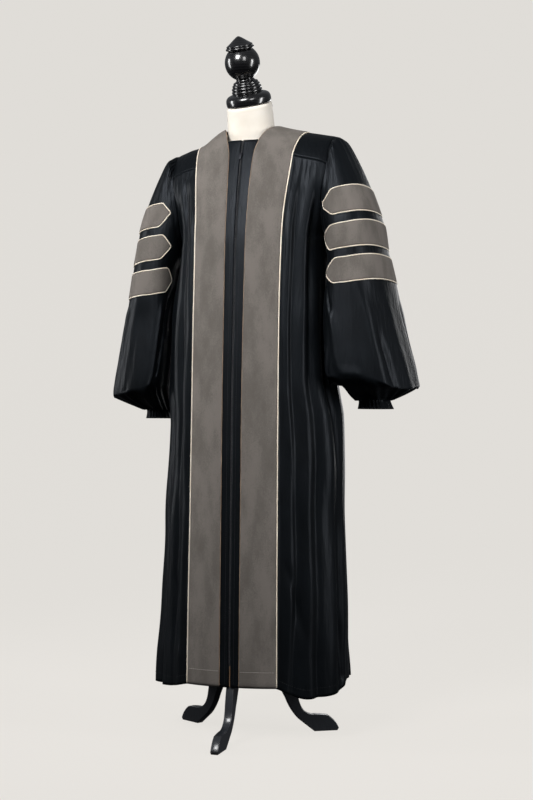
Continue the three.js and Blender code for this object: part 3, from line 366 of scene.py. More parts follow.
def addStage():
    profile = [(0.0, 0.0), (stage["flat"], 0.0)]
    for t in np.linspace(0, math.pi / 2, 17)[1:]:
        profile.append((stage["flat"] + stage["rise"] * math.sin(t), stage["rise"] * (1 - math.cos(t))))
    profile.append((stage["flat"] + stage["rise"], stage["wall"]))
    sides = stage["sides"]
    turn = np.linspace(0, 2 * math.pi, sides, endpoint=False)
    vertices = [(0, 0, 0)] + [(r * math.cos(a), r * math.sin(a), z) for r, z in profile[1:] for a in turn]
    faces = [(0, 1 + k, 1 + (k + 1) % sides) for k in range(sides)]
    for start in range(1, 1 + (len(profile) - 2) * sides, sides):
        for k in range(sides):
            a, b = start + k, start + (k + 1) % sides
            faces.append((a, a + sides, b + sides, b))
    mesh = bpy.data.meshes.new("floor")
    mesh.from_pydata(vertices, [], faces)
    mesh.polygons.foreach_set("use_smooth", [True] * len(faces))
    mesh.materials.append(looks["paper"])
    floor = bpy.data.objects.new("floor", mesh)
    bpy.context.scene.collection.objects.link(floor)
    floor.visible_diffuse = floor.visible_glossy = False

    world = bpy.data.worlds.new("studio")
    bpy.context.scene.world = world
    world.use_nodes = True
    tree = world.node_tree
    # the room is dim below and pale above, with a cool north-light tint
    where = node(tree, "ShaderNodeTexCoord")
    parts = node(tree, "ShaderNodeSeparateXYZ", Vector=where.outputs["Generated"])
    height = node(tree, "ShaderNodeMapRange", Value=parts.outputs["Z"], From_Min=-1.0, From_Max=1.0)
    sky = node(tree, "ShaderNodeValToRGB", Fac=height.outputs["Result"],
               stops=[(0.2, "#3c3d40"), (0.48, "#86888c"), (0.6, "#bcc0c6"), (1.0, "#e4e8ee")])
    background = tree.nodes["Background"]
    tree.links.new(sky.outputs["Color"], background.inputs["Color"])
    background.inputs["Strength"].default_value = stage["worldStrength"]

    for box in softboxes:
        data = bpy.data.lights.new(box["name"], "AREA")
        data.shape, data.size, data.size_y, data.energy = "RECTANGLE", *box["size"], box["power"]
        data.spread = math.radians(box["spread"])
        light = bpy.data.objects.new(box["name"], data)
        bpy.context.scene.collection.objects.link(light)
        turn = math.radians(box["azimuth"])
        x, y, z = box["distance"] * math.sin(turn), -box["distance"] * math.cos(turn), box["height"]
        light.location = (x, y, z)
        level = math.hypot(x, y)
        light.rotation_euler = (math.atan2(level, z - box["aim"]), 0, math.atan2(y, x) + math.pi / 2)


addCamera()
addStage()
bpy.context.scene.view_settings.view_transform = "Standard"
print("camera and stage ready")


# How the gown settles on the form: the wearer's left side sits higher, both shoulders and
# arms sit further to the left, and so does the skirt below the bells
settleRows = table(
    "z rise shoulder skirt",
    (200, 0, 0, 2), (340, 3, 0, 6), (520, 6.5, 0, 6), (650, 9, 0, 10), (760, 10.8, 0, 11),
    (820, 11.6, 0, 4), (860, 12, 0, 0), (1050, 7, 0, 0), (1250, 6, 9, 0), (1430, 14, 9, 0),
)
settleReach = dict(start=60, over=180, shoulderStart=110, shoulderOver=90,
                   armStart=235, armOver=90, armShift=7,
                   slopeDrop=13, slopeAt=122, slopeWide=34, slopeFrom=1340, slopeOver=90)
bothSides = ((1, "left"), (-1, "right"))
toOtherSide = np.array([-1.0, 1, 1])


def settled(points):
    x, z = points[..., 0], points[..., 2]
    row, reach = rowAt(settleRows, "z", z), settleReach
    rise = row["rise"] * ease((abs(x) - reach["start"]) / reach["over"])
    shoulder = ease((abs(x) - reach["shoulderStart"]) / reach["shoulderOver"])
    arm = reach["armShift"] * ease((abs(x) - reach["armStart"]) / reach["armOver"])
    aside = np.maximum(row["shoulder"] * shoulder, arm) + row["skirt"] * shoulder
    slope = reach["slopeDrop"] * np.exp(-((x + reach["slopeAt"]) / reach["slopeWide"]) ** 2)
    slope = slope * ease((z - reach["slopeFrom"]) / reach["slopeOver"])
    return point(x + aside, points[..., 1], z + np.sign(x) * rise - slope)


def mirrored(grid):
    # the same sheet on the wearer's right, its columns turned round to face outwards
    return (grid * toOtherSide)[:, ::-1]


def onSide(grid, side):
    return settled(grid if side > 0 else mirrored(grid))


def lineOnSide(line, side):
    return settled(line * np.array([side, 1.0, 1]))


# Making meshes
def meshObject(name, points, faces, look, uvs=None):
    mesh = bpy.data.meshes.new(name)
    mesh.from_pydata((np.asarray(points).reshape(-1, 3) * 0.001).tolist(), [], faces)
    mesh.polygons.foreach_set("use_smooth", [True] * len(mesh.polygons))
    if uvs is not None:
        layer = mesh.uv_layers.new(name="UVMap")
        corner = np.zeros(len(mesh.loops), int)
        mesh.loops.foreach_get("vertex_index", corner)
        layer.data.foreach_set("uv", np.asarray(uvs, float)[corner].ravel())
    mesh.materials.append(look)
    made = bpy.data.objects.new(name, mesh)
    bpy.context.scene.collection.objects.link(made)
    return made


def clothUvs(grid):
    # the cloth's own width and length in metres, so that its yarns have their real size
    return np.stack([runAlong(grid, 1), runAlong(grid)], -1).reshape(-1, 2) * 0.001


def clothWall(name, grid, thickness, look, wrap=False):
    # a closed wall of cloth: the grid is its outer face and the lining side lies inside it
    rows, cols = grid.shape[:2]
    around = np.concatenate([grid[:, -1:], grid, grid[:, :1]], 1) if wrap else grid
    normals = surfaceNormals(around)
    normals = normals[:, 1:-1] if wrap else normals
    inner = grid - normals * thickness
    at = np.arange(rows * cols).reshape(rows, cols)
    ring = np.concatenate([at, at[:, :1]], 1) if wrap else at
    a, b, c, d = ring[:-1, :-1], ring[:-1, 1:], ring[1:, 1:], ring[1:, :-1]
    outerFaces = np.stack([a, b, c, d], -1).reshape(-1, 4)
    size = rows * cols
    faces = [outerFaces, outerFaces[:, ::-1] + size]
    rims = [(ring[0], False), (ring[-1], True)]
    if not wrap:
        rims += [(at[:, 0], True), (at[:, -1], False)]
    for line, turned in rims:
        p, q = line[:-1], line[1:]
        quad = np.stack([p, p + size, q + size, q], -1)
        faces.append(quad[:, ::-1] if turned else quad)
    uvs = clothUvs(grid)
    return meshObject(name, np.concatenate([grid.reshape(-1, 3), inner.reshape(-1, 3)]),
                      np.concatenate(faces).tolist(), look, np.concatenate([uvs, uvs]))


def ringFaces(at, capped=True):
    # the faces between rows of points that run all the way round, and their two flat ends
    ring = np.concatenate([at, at[:, :1]], 1)
    quads = np.stack([ring[:-1, :-1], ring[:-1, 1:], ring[1:, 1:], ring[1:, :-1]], -1)
    faces = quads.reshape(-1, 4).tolist()
    return faces + [at[0][::-1].tolist(), at[-1].tolist()] if capped else faces


def tube(name, path, radius, look, closed=False, sides=10):
    # a round cord along a path of points, its ends closed by flat caps
    path = np.asarray(path, float)
    n = len(path)
    along = unit(np.roll(path, -1, 0) - np.roll(path, 1, 0) if closed else np.gradient(path, axis=0))
    side = np.zeros_like(path)
    side[0] = unit(np.cross(along[0], [0.3, 0.2, 1.0] if abs(along[0][2]) < 0.9 else [1.0, 0.2, 0]))
    for i in range(1, n):
        side[i] = unit(side[i - 1] - along[i] * np.dot(side[i - 1], along[i]))
    other = np.cross(along, side)
    turn = np.linspace(0, 2 * math.pi, sides, endpoint=False)[None, :, None]
    points = path[:, None] + radius * (side[:, None] * np.cos(turn) + other[:, None] * np.sin(turn))
    at = np.arange(n * sides).reshape(n, sides)
    if closed:      # the last ring joins the first at the points that lie nearest
        twist = math.atan2(np.dot(side[-1], other[0]), np.dot(side[-1], side[0]))
        shift = int(round(twist / (2 * math.pi) * sides))
        at = np.concatenate([at, np.roll(at[:1], -shift, 1)], 0)
    return meshObject(name, points.reshape(-1, 3), ringFaces(at, not closed), look)


def roundedLine(line, times=2):
    # corners cut again and again until they are round
    line = np.asarray(line, float)
    for _ in range(times):
        a, b = line[:-1], line[1:]
        cutCorners = np.stack([mix(a, b, 0.25), mix(a, b, 0.75)], 1).reshape(-1, 2)
        line = np.concatenate([line[:1], cutCorners, line[-1:]])
    return line


def solidObject(name, points, faces, look):
    # a closed solid whose large end faces stay flat
    made = meshObject(name, points, faces, look)
    build = bmesh.new()
    build.from_mesh(made.data)
    bmesh.ops.recalc_face_normals(build, faces=build.faces)
    for face in build.faces:
        face.smooth = len(face.verts) <= 4
    build.to_mesh(made.data)
    build.free()
    return made


def turnedSolid(name, profile, look, place=lambda points: points, sides=96):
    # a shape turned on a lathe from (radius, height) points; its two ends are closed
    turn = np.linspace(0, 2 * math.pi, sides, endpoint=False)
    r, h = np.asarray(profile, float).T
    points = point(r[:, None] * np.cos(turn), r[:, None] * np.sin(turn), h[:, None]).reshape(-1, 3)
    faces = ringFaces(np.arange(len(r) * sides).reshape(len(r), sides))
    return solidObject(name, place(points), faces, look)


def roundedBoard(outline, thickness, radius, steps=4):
    # a board of this outline with its two rims rounded over: (x, z) points and their depth
    outline = np.asarray(outline, float)
    around = np.roll(outline, -1, 0)
    if np.sum(outline[:, 0] * around[:, 1] - around[:, 0] * outline[:, 1]) < 0:
        outline = outline[::-1]
    along = unit(unit(outline - np.roll(outline, 1, 0)) + unit(np.roll(outline, -1, 0) - outline))
    inward = np.stack([-along[:, 1], along[:, 0]], 1)
    bend = np.linspace(0, math.pi / 2, steps)
    rim = [(radius * (1 - math.sin(a)), radius * (1 - math.cos(a))) for a in bend]
    levels = rim + [(inset, thickness - deep) for inset, deep in rim[::-1]]
    rings = [(outline + inward * inset, deep) for inset, deep in levels]
    points = np.concatenate([point(ring[:, 0], deep - thickness / 2, ring[:, 1]) for ring, deep in rings])
    return points, ringFaces(np.arange(len(points)).reshape(len(levels), -1))


# (place along a stitch, share of its thickness, height over the cloth in radii)
threadRings = ((0, 0.15, -0.4), (0.25, 1, 0.35), (0.75, 1, 0.35), (1, 0.15, -0.4))


def stitchRow(name, path, up, look, length=3.4, gap=1.3, radius=0.4):
    # a row of stitches along a path: each a short thread that dips into the cloth at its ends
    run = runAlong(path)
    starts = np.arange(0, run[-1] - length, length + gap)
    along = unit(sampleLine(run, path, starts + length) - sampleLine(run, path, starts))
    rise = unit(sampleLine(run, up, starts + length / 2))
    side = np.cross(along, rise)
    rings = []
    for share, wide, lift in threadRings:
        middle = sampleLine(run, path, starts + length * share) + rise * radius * lift
        for a in np.arange(4) * math.pi / 2:
            rings.append(middle + radius * wide * (side * math.cos(a) + rise * math.sin(a)))
    one = np.array(ringFaces(np.arange(16).reshape(4, 4)))
    faces = [face for k in range(len(starts)) for face in (one + 16 * k).tolist()]
    return meshObject(name, np.stack(rings, 1).reshape(-1, 3), faces, look)


def keep(piece, body, replaces=()):
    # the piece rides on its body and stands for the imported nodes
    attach(piece, body)
    if replaces:
        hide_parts(*replaces)
    return piece


def keepCloth(name, grid, replaced, wrap=False):
    piece = clothWall(name, grid, gown["clothThick"], looks["cloth"], wrap)
    return keep(piece, "gown", [replaced])


# The body of the gown: sections by height, with the middle of the front, the side and the back
bodyRows = table(
    "z front sideX sideY back power",
    (100, -127, 239, 60, 240, 2.15), (300, -122, 231, 62, 238, 2.15), (520, -115, 222, 65, 236, 2.1),
    (765, -107, 214, 70, 234, 2.1), (900, -101, 206, 73, 220, 2.2), (1050, -91, 194, 76, 200, 2.4),
    (1198, -80, 186, 78, 186, 2.4), (1260, -70, 188, 78, 181, 2.3), (1320, -58, 192, 78, 176, 2.2),
    (1366, -46, 196, 78, 169, 2.1), (1400, -36, 199, 78, 158, 2), (1443, -22, 130, 70, 140, 2),
)
panelRows = table(
    "z strip velvet",
    (100, 24.7, 110), (765, 24.7, 106), (1050, 25.2, 105.5), (1230, 26.4, 107.5), (1400, 31, 121),
    (1443, 40, 124),
)
gown = dict(
    hem=135, neckFront=1443, underarm=1198, slitTop=185, zipTop=1428, zipHalf=2.4, cornerHalf=40,
    velvetTopHalf=121, seamEndHalf=193, frontSeamTurn=21.65, backSeamTurn=168.75, backSeam=1345,
    clothThick=1.2, velvetShare=0.52, yokeLift=0.2, backYokeLift=0.4,
)
armhole = dict(y=78, z=1321, halfDepth=90, halfHeight=123, lowX=186, highX=200, cutIn=9, cutOver=40)
neckPoint, neckBack = np.array([70.0, 60, 1486]), np.array([0.0, 124, 1478])


def armholePoint(turn):
    # the front of the armhole is cut in towards the chest below its yoke seam
    a = np.radians(turn)
    rise = (np.sin(a) + 1) / 2
    cutIn = armhole["cutIn"] * np.maximum(0, np.cos(a))
    cutIn = cutIn * ease((gown["frontSeamTurn"] - turn) / armhole["cutOver"])
    return point(mix(armhole["lowX"], armhole["highX"], rise) - cutIn,
                 armhole["y"] - armhole["halfDepth"] * np.cos(a),
                 armhole["z"] + armhole["halfHeight"] * np.sin(a))


def armholeTurn(z, back):
    turn = np.degrees(np.arcsin(np.clip((z - armhole["z"]) / armhole["halfHeight"], -1, 1)))
    return 180 - turn if back else turn


seamEndPoint = armholePoint(gown["frontSeamTurn"])


def bodyPoint(row, z, angle, back, out=0.0):
    # out moves the point off the section, square to it
    middle = row["back"] if back else row["front"]
    s, c, power = np.sin(angle), np.maximum(0, np.cos(angle)), row["power"]
    x = row["sideX"] * s ** (2 / power)
    y = row["sideY"] + (middle - row["sideY"]) * c ** (2 / power)
    nx = s ** (2 - 2 / power) / row["sideX"]
    ny = c ** (2 - 2 / power) / (middle - row["sideY"])
    size = np.maximum(np.hypot(nx, ny), 1e-9)
    return point(x + out * nx / size, y + out * ny / size, z)


def pointTowardsEnd(z, start, share, back, out=0.0):
    # part of the way to the side seam, or over the underarm to the armhole's edge
    row = rowAt(bodyRows, "z", z)
    seamHeight = gown["backSeam"] if back else seamEndPoint[2]
    edge = armholePoint(armholeTurn(np.minimum(z, seamHeight), back))
    middle = row["back"] if back else row["front"]
    over = z > gown["underarm"]
    cosine = np.where(over, clamp((edge[..., 1] - row["sideY"]) / (middle - row["sideY"])), 0)
    endAngle = np.arccos(cosine ** (row["power"] / 2))
    endX = np.where(over, edge[..., 0], row["sideX"])
    p = bodyPoint(row, z, mix(start, endAngle, share), back, out)
    p[..., 0] += (endX - row["sideX"] * np.sin(endAngle) ** (2 / row["power"])) * ease(share)
    return p


def angleOfWidth(row, x):
    return np.arcsin(clamp((x / row["sideX"]) ** (row["power"] / 2)))


def frontPoint(z, place, out=0.0):
    # place runs 0 to 1 over the strip beside the zip, to 2 over the velvet, to 3 over the flutes
    row, panel = rowAt(bodyRows, "z", z), rowAt(panelRows, "z", z)
    onVelvet = mix(panel["strip"], panel["velvet"], place - 1)
    x = np.where(place < 1, mix(gown["zipHalf"], panel["strip"], place), onVelvet)
    start = np.where(place <= 2, angleOfWidth(row, x), angleOfWidth(row, panel["velvet"]))
    near = bodyPoint(row, z, start, False, out)
    far = pointTowardsEnd(z, start, clamp(place - 2), False, out)
    return np.where((place <= 2)[..., None], near, far)


def frontTopHeight(place):
    x = np.where(place < 1, 0, np.where(place < 2, mix(gown["cornerHalf"], gown["velvetTopHalf"], place - 1),
                                        mix(gown["velvetTopHalf"], gown["seamEndHalf"], place - 2)))
    share = clamp((x - gown["cornerHalf"]) / (seamEndPoint[0] - gown["cornerHalf"]))
    return mix(gown["neckFront"], seamEndPoint[2], share)


# Folds: soft ridges (deep above 0) and troughs (deep below 0). Each follows a line of (along,
# across) points, is so wide and deep in millimetres, and fades in at each end of its line. It
# also wanders a little and runs deeper in some places than in others, as real ones do.
def foldField(folds, along, across, scale=1.0, step=1.0, seed=0, uneven=0.4):
    total = np.zeros(np.broadcast(along, across).shape)
    for number, fold in enumerate(folds):
        line = np.array(sorted(fold["line"]), float)
        centre = curveThrough(line[:, 0], line[:, 1], along)
        wave = along * step * 0.018 + 7.3 * number + seed
        away = (across - centre) * scale + 2.0 * np.sin(0.37 * wave) + np.sin(0.9 * wave + 1)
        lean = fold.get("lean", 0)
        width = fold["wide"] * np.where(away > 0, 1 + lean, 1 - lean)
        lowFade, highFade = fold["fade"]
        fade = ease((along - line[0, 0]) * step / lowFade) * ease((line[-1, 0] - along) * step / highFade)
        strength = 1 + uneven * (0.65 * np.sin(0.7 * wave + 2) + 0.35 * np.sin(1.6 * wave))
        total += fold["deep"] * strength * fade * np.exp(-(away / width) ** 2)
    return total


def gatherField(across, fromSeam, seed, length, pitch, deep, reach):
    # small uneven gathers that start at a seam of some length and die out away from it
    rng = np.random.default_rng(seed)
    count = int(length / pitch)
    centres = (np.arange(count) + 0.5 + rng.uniform(-0.3, 0.3, count)) * length / count
    depths, reaches = rng.uniform(0.35, 1.0, count), reach * rng.uniform(0.5, 1.5, count)
    wides = pitch * rng.uniform(0.24, 0.4, count)
    total = np.zeros(np.broadcast(across, fromSeam).shape)
    for centre, depth, far, wide in zip(centres, depths, reaches, wides):
        total += depth * np.exp(-((across - centre) / wide) ** 2) * np.exp(-np.maximum(fromSeam, 0) / far)
    return deep * (total - 0.4 * np.exp(-np.maximum(fromSeam, 0) / reach))


# Flutes of the two fronts, as (height, millimetres from the velvet's outer edge). They hang
# from the gathers under the yoke seam to the hem.
foldColumns = "line wide deep fade lean"
toHem = (1, 150)
frontFlutes = dict(
    left=table(
        foldColumns,
        ([(90, 9), (1330, 8)], 6, -3, toHem),
        ([(90, 24), (400, 34), (640, 33), (835, 22), (1370, 19)], 10, 3.5, toHem),
        ([(90, 46), (400, 52), (640, 45), (835, 37), (1260, 37), (1375, 31)], 10, -6, (1, 90), 0.2),
        ([(90, 84), (400, 76), (640, 72), (835, 62), (1260, 57), (1370, 52)], 15, 6, toHem),
        ([(90, 112), (400, 102), (640, 94), (835, 80), (1260, 74), (1360, 68)], 10, -5.5, (1, 100)),
        ([(90, 150), (400, 142), (640, 132), (835, 108), (1180, 98)], 26, 7, toHem),
        ([(90, 186), (400, 178), (640, 170), (835, 132), (1150, 118)], 12, -5, toHem),
        ([(90, 212), (640, 198), (960, 182)], 11, 4, (1, 160)),
        ([(128, 200), (210, 190), (330, 180)], 9, -7, (20, 80)),
        ([(230, 72), (330, 52), (450, 16)], 9, -4, (60, 60)),
    ),
    right=table(
        foldColumns,
        ([(90, 8), (1330, 8)], 6, -3, toHem),
        ([(90, 30), (500, 28), (900, 26), (1370, 20)], 11, 4, toHem),
        ([(90, 60), (400, 54), (760, 46), (1260, 38), (1375, 33)], 10, -6, (1, 90), -0.2),
        ([(90, 92), (400, 84), (700, 76), (1000, 64), (1365, 54)], 15, 6, toHem),
        ([(90, 122), (400, 112), (700, 98), (1000, 84), (1360, 70)], 10, -5.5, (1, 100)),
        ([(90, 156), (400, 146), (700, 130), (1000, 112), (1180, 100)], 20, 6.5, toHem),
        ([(90, 188), (400, 180), (700, 166), (1120, 128)], 11, -5.5, toHem),
        ([(90, 210), (640, 198), (960, 182)], 11, 4, (1, 160)),
        ([(190, 24), (300, 44), (420, 74)], 9, -3.5, (50, 60)),
    ),
)


hemShape = dict(
    left=table("at dz", (0, 0), (0.3, -26), (0.75, -20), (1, 3)),
    right=table("at dz", (0, 0), (0.3, -13), (0.75, -15), (1, -7)),
)
# columns lie close together where an edge is rounded
edgeShares = np.array([0, 0.006, 0.014, 0.026, 0.05])
farEdgeShares = np.array([0.95, 0.974, 0.986, 0.994, 1.0])
velvetPlaces = 1 + np.concatenate([
    edgeShares, np.array([0.1, 0.17, 0.25, 0.34, 0.43, 0.52, 0.61, 0.7, 0.78, 0.85, 0.91]), farEdgeShares])
stripColumns = 8
frontPlaces = np.concatenate([np.linspace(0, 1, stripColumns + 1)[:-1], velvetPlaces,
                              2 + np.linspace(0, 1, 97)[1:]])
velvetColumns = slice(stripColumns, stripColumns + len(velvetPlaces))
frontRowCount = dict(skirt=150, chest=44)
frontGathers = dict(length=95, pitch=12, deep=1.8, reach=60)
frontFlat = dict(velvet=10, side=14, seam=30, intoSeam=2)     # folds start this far from each edge


def upTheBody(counts):
    # row places from the hem (0) to the underarm (1) and the top (2)
    skirt, chest = np.linspace(0, 1, counts["skirt"]), np.linspace(0, 1, counts["chest"])[1:]
    return np.concatenate([skirt, 1 + chest])[:, None]


def millimetresFrom(grid, column):
    # distance along each row from one of its columns
    run = runAlong(grid, 1)
    return run - run[:, column:column + 1]


def frontGrid(word):
    # rows from the hem up to the neckline and the yoke seam
    v = upTheBody(frontRowCount)
    place = frontPlaces[None, :]
    share = clamp(place - 2)
    hem = gown["hem"] + np.where(place > 2, rowAt(hemShape[word], "at", share)["dz"], 0)
    z = np.where(v <= 1, mix(hem, gown["underarm"], v), mix(gown["underarm"], frontTopHeight(place), v - 1))
    across = millimetresFrom(frontPoint(z, place), velvetColumns.stop - 1)
    toSide = across[:, -1:] - across
    fromSeam = frontTopHeight(place) - z
    out = foldField(frontFlutes[word], z, across, seed=len(word))
    out = out + gatherField(across, fromSeam, 3 + len(word), **frontGathers)
    out = out * ease(across / frontFlat["velvet"]) * ease(toSide / frontFlat["side"])
    out = out * ease((fromSeam + frontFlat["intoSeam"]) / frontFlat["seam"])
    return frontPoint(z, place, np.where(place > 2, out, 0))


def yokeFrontPoint(place, v):
    # place as on the front, v from the front seam (0) to the shoulder's ridge (1)
    share = np.where(place <= 2, (place - 1) * gown["velvetShare"], mix(gown["velvetShare"], 1, place - 2))
    t = v[..., None]

    def bent(low, high):
        # a line from the seam to the ridge that rises steeply at first
        control = mix(low, high, np.array([0.5, 0.35, 0.92]))
        return mix(mix(low, control, t), mix(control, high, t), t)

    low = frontPoint(frontTopHeight(place), place)
    p = bent(low, mix(neckPoint, armholePoint(90), share[..., None]))
    # near the armhole the sheet is led to the armhole's own edge
    edge = armholePoint(mix(gown["frontSeamTurn"], 90, v))
    return p + (edge - bent(seamEndPoint, armholePoint(90))) * ease((share - 0.8) / 0.2)[..., None]


yokePlaces = np.concatenate([velvetPlaces, 2 + np.linspace(0, 1, 41)[1:]])
yokeRowCount = 30


def yokeFrontGrid():
    v = np.linspace(0, 1, yokeRowCount)[:, None]
    place, v = np.broadcast_arrays(yokePlaces[None, :], v)
    return yokeFrontPoint(place, v)


# The back: its flutes fan out from the yoke seam, as (height, millimetres from the middle)
backFolds = dict(count=9, seamPitch=20, waistPitch=25, hemPitch=32, wide=(11, 17), deep=(6, 9))
backGathers = dict(length=190, pitch=13, deep=2.6, reach=80)
backCounts = dict(skirt=140, chest=30, half=93, meet=6)
backFlat = dict(side=18, seam=26, intoSeam=3)
backHem = dict(middle=3, leftSide=3, rightSide=-7, dip=8)


def backFlutes(seed):
    rng = np.random.default_rng(seed)
    flutes = []
    for k in range(backFolds["count"]):
        shift = rng.uniform(-4, 4) if k else 0
        flutes.append(dict(
            line=[(90, k * backFolds["hemPitch"] + shift), (750, k * backFolds["waistPitch"] + shift * 0.5),
                  (1335, k * backFolds["seamPitch"])],
            wide=rng.uniform(*backFolds["wide"]) * (1 if k % 2 else 0.8),
            deep=rng.uniform(*backFolds["deep"]) * (-1 if k % 2 else 1), fade=(1, rng.uniform(120, 320))))
    return flutes


def backBodyPoint(z, share, out=0.0):
    return pointTowardsEnd(z, 0.0, share, True, out)


def backGrid():
    def oneHalf(seed, sideHem):
        share, v = np.broadcast_arrays(np.linspace(0, 1, backCounts["half"])[None, :], upTheBody(backCounts))
        hem = gown["hem"] + mix(backHem["middle"], sideHem, ease(share))
        hem = hem - backHem["dip"] * np.sin(share * math.pi)
        z = np.where(v <= 1, mix(hem, gown["underarm"], v), mix(gown["underarm"], gown["backSeam"], v - 1))
        across = millimetresFrom(backBodyPoint(z, share), 0)
        toSide = across[:, -1:] - across
        fromSeam = gown["backSeam"] - z
        out = foldField(backFlutes(seed), z, across, seed=seed)
        out = out + gatherField(across, fromSeam, seed, **backGathers)
        out = out * ease(toSide / backFlat["side"])
        out = out * ease((fromSeam + backFlat["intoSeam"]) / backFlat["seam"])
        return backBodyPoint(z, share, out)

    left = oneHalf(11, backHem["leftSide"])[:, ::-1]
    right = oneHalf(12, backHem["rightSide"]) * toOtherSide
    middle = (left[:, -1] + right[:, 0]) / 2
    left[:, -1] = middle
    for k in range(1, backCounts["meet"]):      # the two halves meet smoothly at the middle
        share = 0.5 * (1 - k / backCounts["meet"])
        a, b = left[:, -1 - k].copy(), right[:, k] * toOtherSide
        left[:, -1 - k], right[:, k] = mix(a, b, share), mix(b, a, share) * toOtherSide
    return np.concatenate([left, right[:, 1:]], 1)


backYoke = dict(seamSpoke=0.42, out=17, up=22, bow=0.4, evenOver=90, evenEnds=12)


def backYokePoint(t, share):
    # t runs from the ridge (0) to the middle of the back (1), share from the neck to the rim
    a = t * math.pi / 2
    near = point(neckPoint[0] * np.cos(a), mix(neckPoint[1], neckBack[1], np.sin(a)),
                 mix(neckPoint[2], neckBack[2], t))
    seamSpoke = backYoke["seamSpoke"]
    onArmhole = armholePoint(mix(90, gown["backSeamTurn"], clamp(t / seamSpoke)))
    towardsSide = clamp(1 - (t - seamSpoke) / (1 - seamSpoke))
    onSeam = backBodyPoint(np.full(np.shape(t), float(gown["backSeam"])), towardsSide)
    far = np.where((t <= seamSpoke)[..., None], onArmhole, onSeam)
    lift = np.sin(a)
    control = (near + far) / 2 + point(0 * lift, backYoke["out"] * lift, backYoke["up"] * lift)
    s = (share - backYoke["bow"] * share * (1 - share) * np.sin(t * math.pi))[..., None]
    return mix(mix(near, control, s), mix(control, far, s), s)


bandShares = np.concatenate([edgeShares, np.linspace(0.1, 0.9, 9), farEdgeShares]) * gown["velvetShare"]
backYokeShares = np.concatenate([bandShares, np.linspace(gown["velvetShare"], 1, 18)[1:]])
bandRowCount = len(bandShares)     # the yoke's top rows, which the velvet covers


def backYokeGrid():
    spokes = np.concatenate([np.linspace(0, backYoke["seamSpoke"], 25),
                             np.linspace(backYoke["seamSpoke"], 1, 37)[1:]])
    t, share = np.broadcast_arrays(spokes[None, :], backYokeShares[::-1][:, None])
    left = backYokePoint(t, share)
    grid = np.concatenate([left, mirrored(left)[:, 1:]], 1)
    # the band round the neck runs in one even curve, and the yoke below it follows
    even = smoothed(grid, backYoke["evenOver"], 1)
    column = np.arange(grid.shape[1])
    ends = ease(np.minimum(column, column[::-1]) / backYoke["evenEnds"])[None, :, None]
    inBand = ease((1 - share[:, :1]) / (1 - gown["velvetShare"]))[:, :, None]
    return mix(grid, even, ends * inBand)


def edgeDrop(distance, radius):
    # a rounded edge: 0 at the very edge and 1 from a radius inwards
    inside = clamp(distance / radius)
    return np.sqrt(np.maximum(0, 1 - (1 - inside) ** 2))


velvet = dict(gap=0.4, thick=2.1, edge=2.6, clothThick=1.1)
cordSize = dict(radius=1.45, lift=0.9, aside=1.7, fine=0.65, fineAside=0.5)
stitching = dict(
    hemRow=3, stripColumn=3, lift=0.15,
    velvetHem=173, velvetPlaces=(1.03, 1.97, 60), velvetLift=0.1,
    velvetStitch=dict(length=4.6, gap=1.2, radius=0.6),
)


def laidVelvet(name, grid, edges, look):
    # a velvet sheet on the cloth under it, its turned edges rounded down to the cloth;
    # edges says which of left, right, bottom and top are turned
    u, v = runAlong(grid, 1), runAlong(grid)
    away = np.full(u.shape, 1e3)
    for edge, distance in (("left", u), ("right", u[:, -1:] - u), ("bottom", v), ("top", v[-1:] - v)):
        if edge in edges:
            away = np.minimum(away, distance)
    lift = velvet["gap"] + velvet["thick"] * edgeDrop(away, velvet["edge"])
    raised = grid + surfaceNormals(grid) * lift[..., None]
    return clothWall(name, raised, velvet["clothThick"], look)


def lineBeside(edge, beside, normals, distance):
    # a line on the cloth that runs a little past an edge, towards the points beside it
    return smoothed(edge + unit(beside - edge) * distance + normals * cordSize["lift"], 2)


def addPanels():
    # the velvet panel down each front and over its yoke, and the cord along its outer edge
    yoke = yokeFrontGrid()
    count = len(velvetPlaces)
    for side, word in bothSides:
        # a few columns past the velvet's outer edge give the cloth's direction there
        below, above = frontGrid(word)[:, stripColumns:velvetColumns.stop + 4], yoke[1:, :count + 4]
        whole = np.concatenate([below, above])
        grid = onSide(whole[:, :count], side)
        piece = laidVelvet(f"velvetPanel_{word}", grid, ("left", "right", "bottom"), looks["velvet"])
        keep(piece, "gown", [f"velvet_panel_{word}"])
        normals = surfaceNormals(whole)
        path = lineBeside(whole[:, count - 1], whole[:, count], normals[:, count - 1], cordSize["aside"])
        cord = tube(f"panelCord_{word}", lineOnSide(path, side), cordSize["radius"], looks["piping"])
        keep(cord, "gown", [f"panel_piping_{word}"])
        # the panel's inner edge shows the thin fold of its facing
        path = lineBeside(whole[:, 0], whole[:, 1], normals[:, 0], -cordSize["fineAside"])
        edge = tube(f"panelEdge_{word}", lineOnSide(path, side), cordSize["fine"],
                    looks["fineCord"], sides=8)
        keep(edge, "gown")
        # one line of stitches holds up the velvet's hem
        place = np.linspace(*stitching["velvetPlaces"])
        height = np.full(place.shape, stitching["velvetHem"])
        path = frontPoint(height, place, velvet["gap"] + velvet["thick"] + stitching["velvetLift"])
        rise = unit(frontPoint(height, place, 5.0) - path) * np.array([side, 1.0, 1])
        row = stitchRow(f"velvetHemStitches_{word}", lineOnSide(path, side), rise,
                        looks["greyThread"], **stitching["velvetStitch"])
        keep(row, "gown")


def addStitches(name, line, normals):
    row = stitchRow(name, line + normals * stitching["lift"], normals, looks["darkThread"])
    keep(row, "gown")


